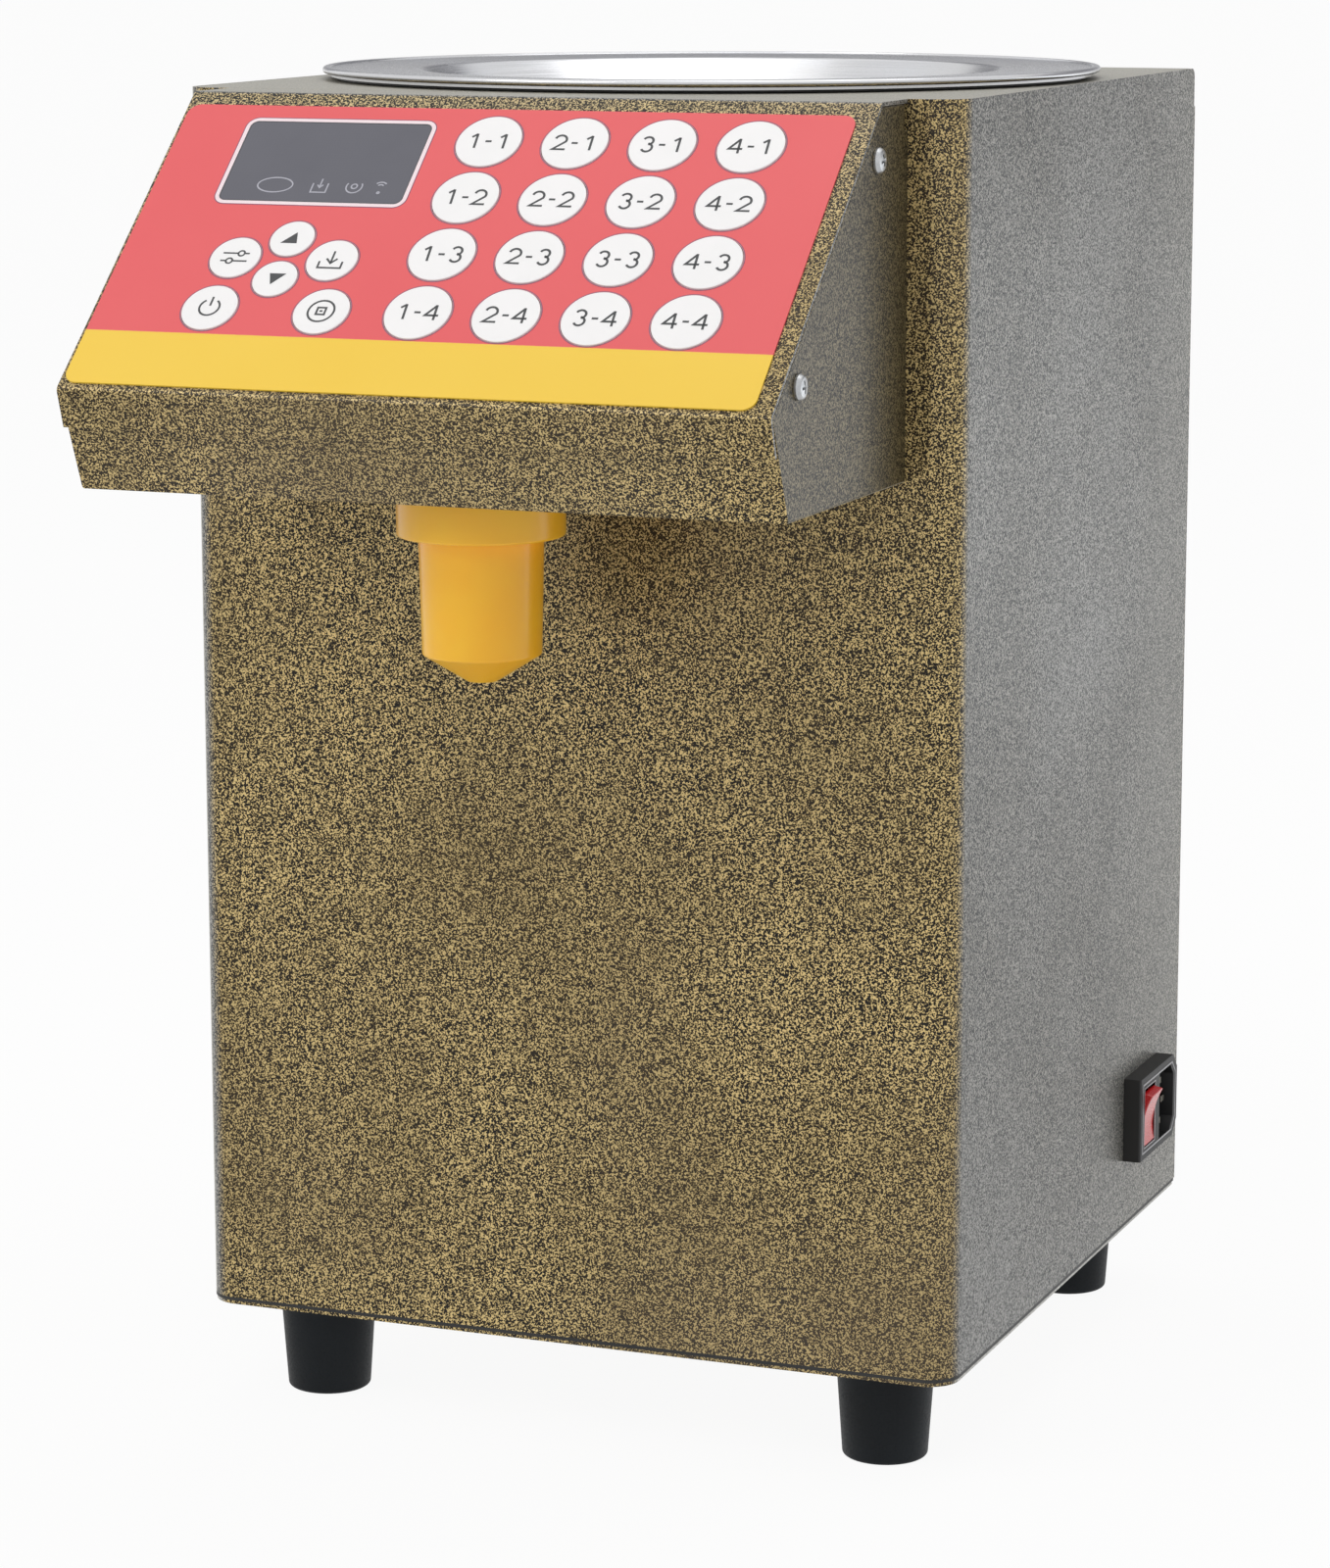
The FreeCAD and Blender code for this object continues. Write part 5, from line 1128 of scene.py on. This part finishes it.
for name, out, width, ink, off in (("window_border", 0.55, 1.25, "border_ink", film_face),
                                   ("window_outer_line", 1.32, 0.3, "line_ink", film_face),
                                   ("window_inner_line", -0.2, 0.28, "dark_ink", 0.505)):
    box = rounded_box(-84.7 - out, -25.8 + out, 12.5 - out, 45.1 + out, 2.5 + out)
    on_film(name, drawn(width, loops=[box], thick=0.04), ink, off)
sign_lines = [
    [(-56.0, -37.4), (-56.0, -41.0), (-51.2, -41.0), (-51.2, -37.4)],
    [(-53.6, -35.6), (-53.6, -38.8)], [(-54.5, -38.0), (-53.6, -39.1), (-52.7, -38.0)],
    arc(2.5, 150, 390, 24, (-42.7, -38.4)), arc(2.2, 45, 135, 10, (-34.4, -38.6)),
    arc(1.2, 45, 135, 8, (-34.4, -38.6))]
sign_loops = [arc(5.6, 0, 355, 40, (-68.1, -38.4), 0.52), arc(0.9, 0, 340, 16, (-42.7, -38.3)),
              arc(0.35, 0, 330, 12, (-34.4, -40.6))]
window_signs = drawn(0.45, sign_lines, sign_loops)
on_film("window_signs", window_signs, "icon_ink", 0.51)
print("the border and", len(sign_lines + sign_loops), "lines of signs")

# %% [markdown]
# ## The power inlet, its switch and the painted shade at the foot
#
# The inlet is one black moulding with a raised flange. Its edges are eased like those of the
# sheets. A grey line runs round its face, inside the edge, and a thinner one round the mouth of
# the switch's well. A dark strip of painted shade runs round the foot of the case, in the gap
# where the shell meets the base plate. The rocker has one hollow face, so its side is drawn as a
# curve and pushed out to its width, then tipped about its pivot.

# %% The inlet's moulding and its lines
eased("inlet_housing", "inlet_plastic", 0.5, "inlet_moulding", steps=3)
to_side = Matrix(((0, 0, 1, 0), (1, 0, 0, 0), (0, 1, 0, 0), (0, 0, 0, 1)))
inset, cut = 2.4, 4.0
low, high, near, far = 56.3 + inset, 84.7 - inset, 59 + inset, 103 - inset
face_line = [(near, low), (far - cut, low), (far, low + cut), (far, high - cut),
             (far - cut, high), (near, high)]
well_line = [(63.0, 60.2), (76.0, 60.2), (76.0, 80.8), (63.0, 80.8)]
for name, line, width, thick, off in (("inlet_face_line", face_line, 0.55, 0.12, 131.0),
                                      ("switch_liner", well_line, 0.35, 0.3, 130.85)):
    mesh = drawn(width, loops=[line], thick=thick)
    mesh.transform(Matrix.Translation((off * mm, 0, 0)) @ to_side)
    piece_from(name, mesh, "grey_trim")
print("the inlet has a line on its face and one round the well")

# %% The painted shade round the foot of the case
side_x, end_y, corner, shade_strip_height = 124.66, 122.5, 9.66, 33.2
foot_line = ([(-side_x, end_y)] + arc(corner, 180, 270, 12, (-115, -114))
             + arc(corner, 270, 360, 12, (115, -114)) + [(side_x, end_y)])
# A dark strip in the seal rubber's finish, laid in the gap between shell and base plate: painted
# shade.
shade_strip = drawn(0.7, [foot_line], thick=1.1)
shade_strip.transform(Matrix.Translation((0, 0, shade_strip_height * mm)))
piece_from("foot_joint_line", shade_strip, "seal_rubber")
print("the joint has", len(shade_strip.polygons), "faces")

# %% The rocker
pivot = Vector((126.6, 69.5, 70.5)) * mm
rocker_width, rocker_tip = 12.6, 9


def rocker_side():
    """Outline of the rocker's side: a hollow face, two heels and the root in the well."""
    heights = [9 - 0.75 * i for i in range(25)]
    hollow = [(4.3 + 1.6 * (height / 9) ** 2, height) for height in heights]
    return hollow + [(2.6, -9.2), (-4, -5), (-4, 5), (2.6, 9.2)]


rocker = filled(rocker_side(), rocker_width)
level = Matrix(((1, 0, 0, 0), (0, 0, -1, rocker_width / 2 * mm), (0, 1, 0, 0), (0, 0, 0, 1)))
tip = Matrix.Rotation(math.radians(rocker_tip), 4, "Y")
rocker.transform(Matrix.Translation(pivot) @ tip @ level)
rocker = piece_from("power_rocker_moulded", settle(rocker), "rocker_plastic", "power_rocker",
                    ["power_rocker"])
rounded(rocker, 0.35, 3, 40, harden=False)
print("the rocker is tipped by", rocker_tip, "degrees")

# %% [markdown]
# ## Inside: hoses, cable, seal and spring
#
# The seal shows when the lid is off, and the rest at most through the vents. A hose or a cable
# bends by itself, so its path is a NURBS curve through a few chosen points, with a round section.
# The spring follows a rule, so a tree winds it from its turns, radius, length and wire. It is
# squeezed when the drip valve opens.


# %% Hoses and cable
def along(name, points, radius, finish, stands_for=()):
    """A round hose or cable along chosen points, in millimetres."""
    path = bpy.data.curves.new(name, "CURVE")
    path.dimensions = "3D"
    spline = path.splines.new("NURBS")
    spline.points.add(len(points) - 1)
    for point, spot in zip(spline.points, points):
        point.co = (*(Vector(spot) * mm), 1)
    spline.order_u = 3
    spline.use_endpoint_u = True
    spline.resolution_u = 8
    path.bevel_depth = radius * mm
    path.bevel_resolution = 6
    path.use_fill_caps = True
    tube = settle(result_of(placed(name, path)), 50)
    return piece_from(name, tube, finish, "case", stands_for)


along("delivery_hose_tube", [
    (0, -15, 78), (0, -48, 78), (0, -84, 82), (0, -108, 104), (0, -113.4, 142), (0, -113.4, 200),
    (0, -113.4, 260), (0, -113.4, 310), (0, -116, 334), (0, -130, 349), (0, -152, 352),
    (0, -174.8, 352)], 5, "hose_rubber", ["syrup_hoses"])
along("suction_hose_tube", [(0, 0, 109), (0, 0, 120), (0, 0, 136), (0, 0, 162.8)], 7.5,
      "hose_rubber")
along("control_cable_run", [
    (62, -63, 52.6), (62, -63, 80), (62, -80, 108), (62, -112, 140), (46, -114, 220),
    (28, -114, 300), (26.9, -118, 336), (26.9, -132, 352), (26.9, -148, 357), (26.9, -160, 364),
    (26.9, -165.9, 375)], 2.2, "cable_jacket", ["control_cable"])
print("two hoses and a cable")

# %% The seal under the tank's rim
seal = turned([(113.5, 416, 0.4), (119.5, 416, 0.4), (119.5, 417, 0.4), (113.5, 417, 0.4)],
              steps=144)
piece_from("tank_seal_ring", seal, "seal_rubber", "case", ["tank_gasket"])
print("the seal has", len(seal.polygons), "faces")


# %% The spring
def winding():
    tree = Shaping("winding", Turns="Float", Radius="Float", Length="Float", Wire="Float")
    radius = tree.input("Radius")
    inputs = {"Resolution": 28, "Rotations": tree.input("Turns"), "Start Radius": radius,
              "End Radius": radius, "Height": tree.input("Length")}
    coil = tree.node("GeometryNodeCurveSpiral", inputs=inputs)
    inputs = {"Resolution": 10, "Radius": tree.input("Wire")}
    section = tree.node("GeometryNodeCurvePrimitiveCircle", inputs=inputs)
    inputs = {"Curve": coil, "Profile Curve": section, "Fill Caps": True}
    return tree.end(tree.node("GeometryNodeCurveToMesh", inputs=inputs))


spring_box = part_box("valve_spring")
spring_low, spring_high = spring_box[0][2], spring_box[1][2]
spring_height = spring_high - spring_low
wire = 0.45 * mm
coil = shaped(winding(), bpy.data.meshes.new("start"), Turns=6.0, Radius=4.4 * mm, Wire=wire,
              Length=spring_height - 2 * wire, Finish=finishes["stainless"])
coil.transform(Matrix.Translation((0, nozzle_y, spring_low + wire)))
spring = piece_from("valve_spring_wound", settle(coil, 60), "stainless", "case", ["valve_spring"])
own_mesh(spring)
print("a spring of", round(spring_height / mm, 1), "mm")
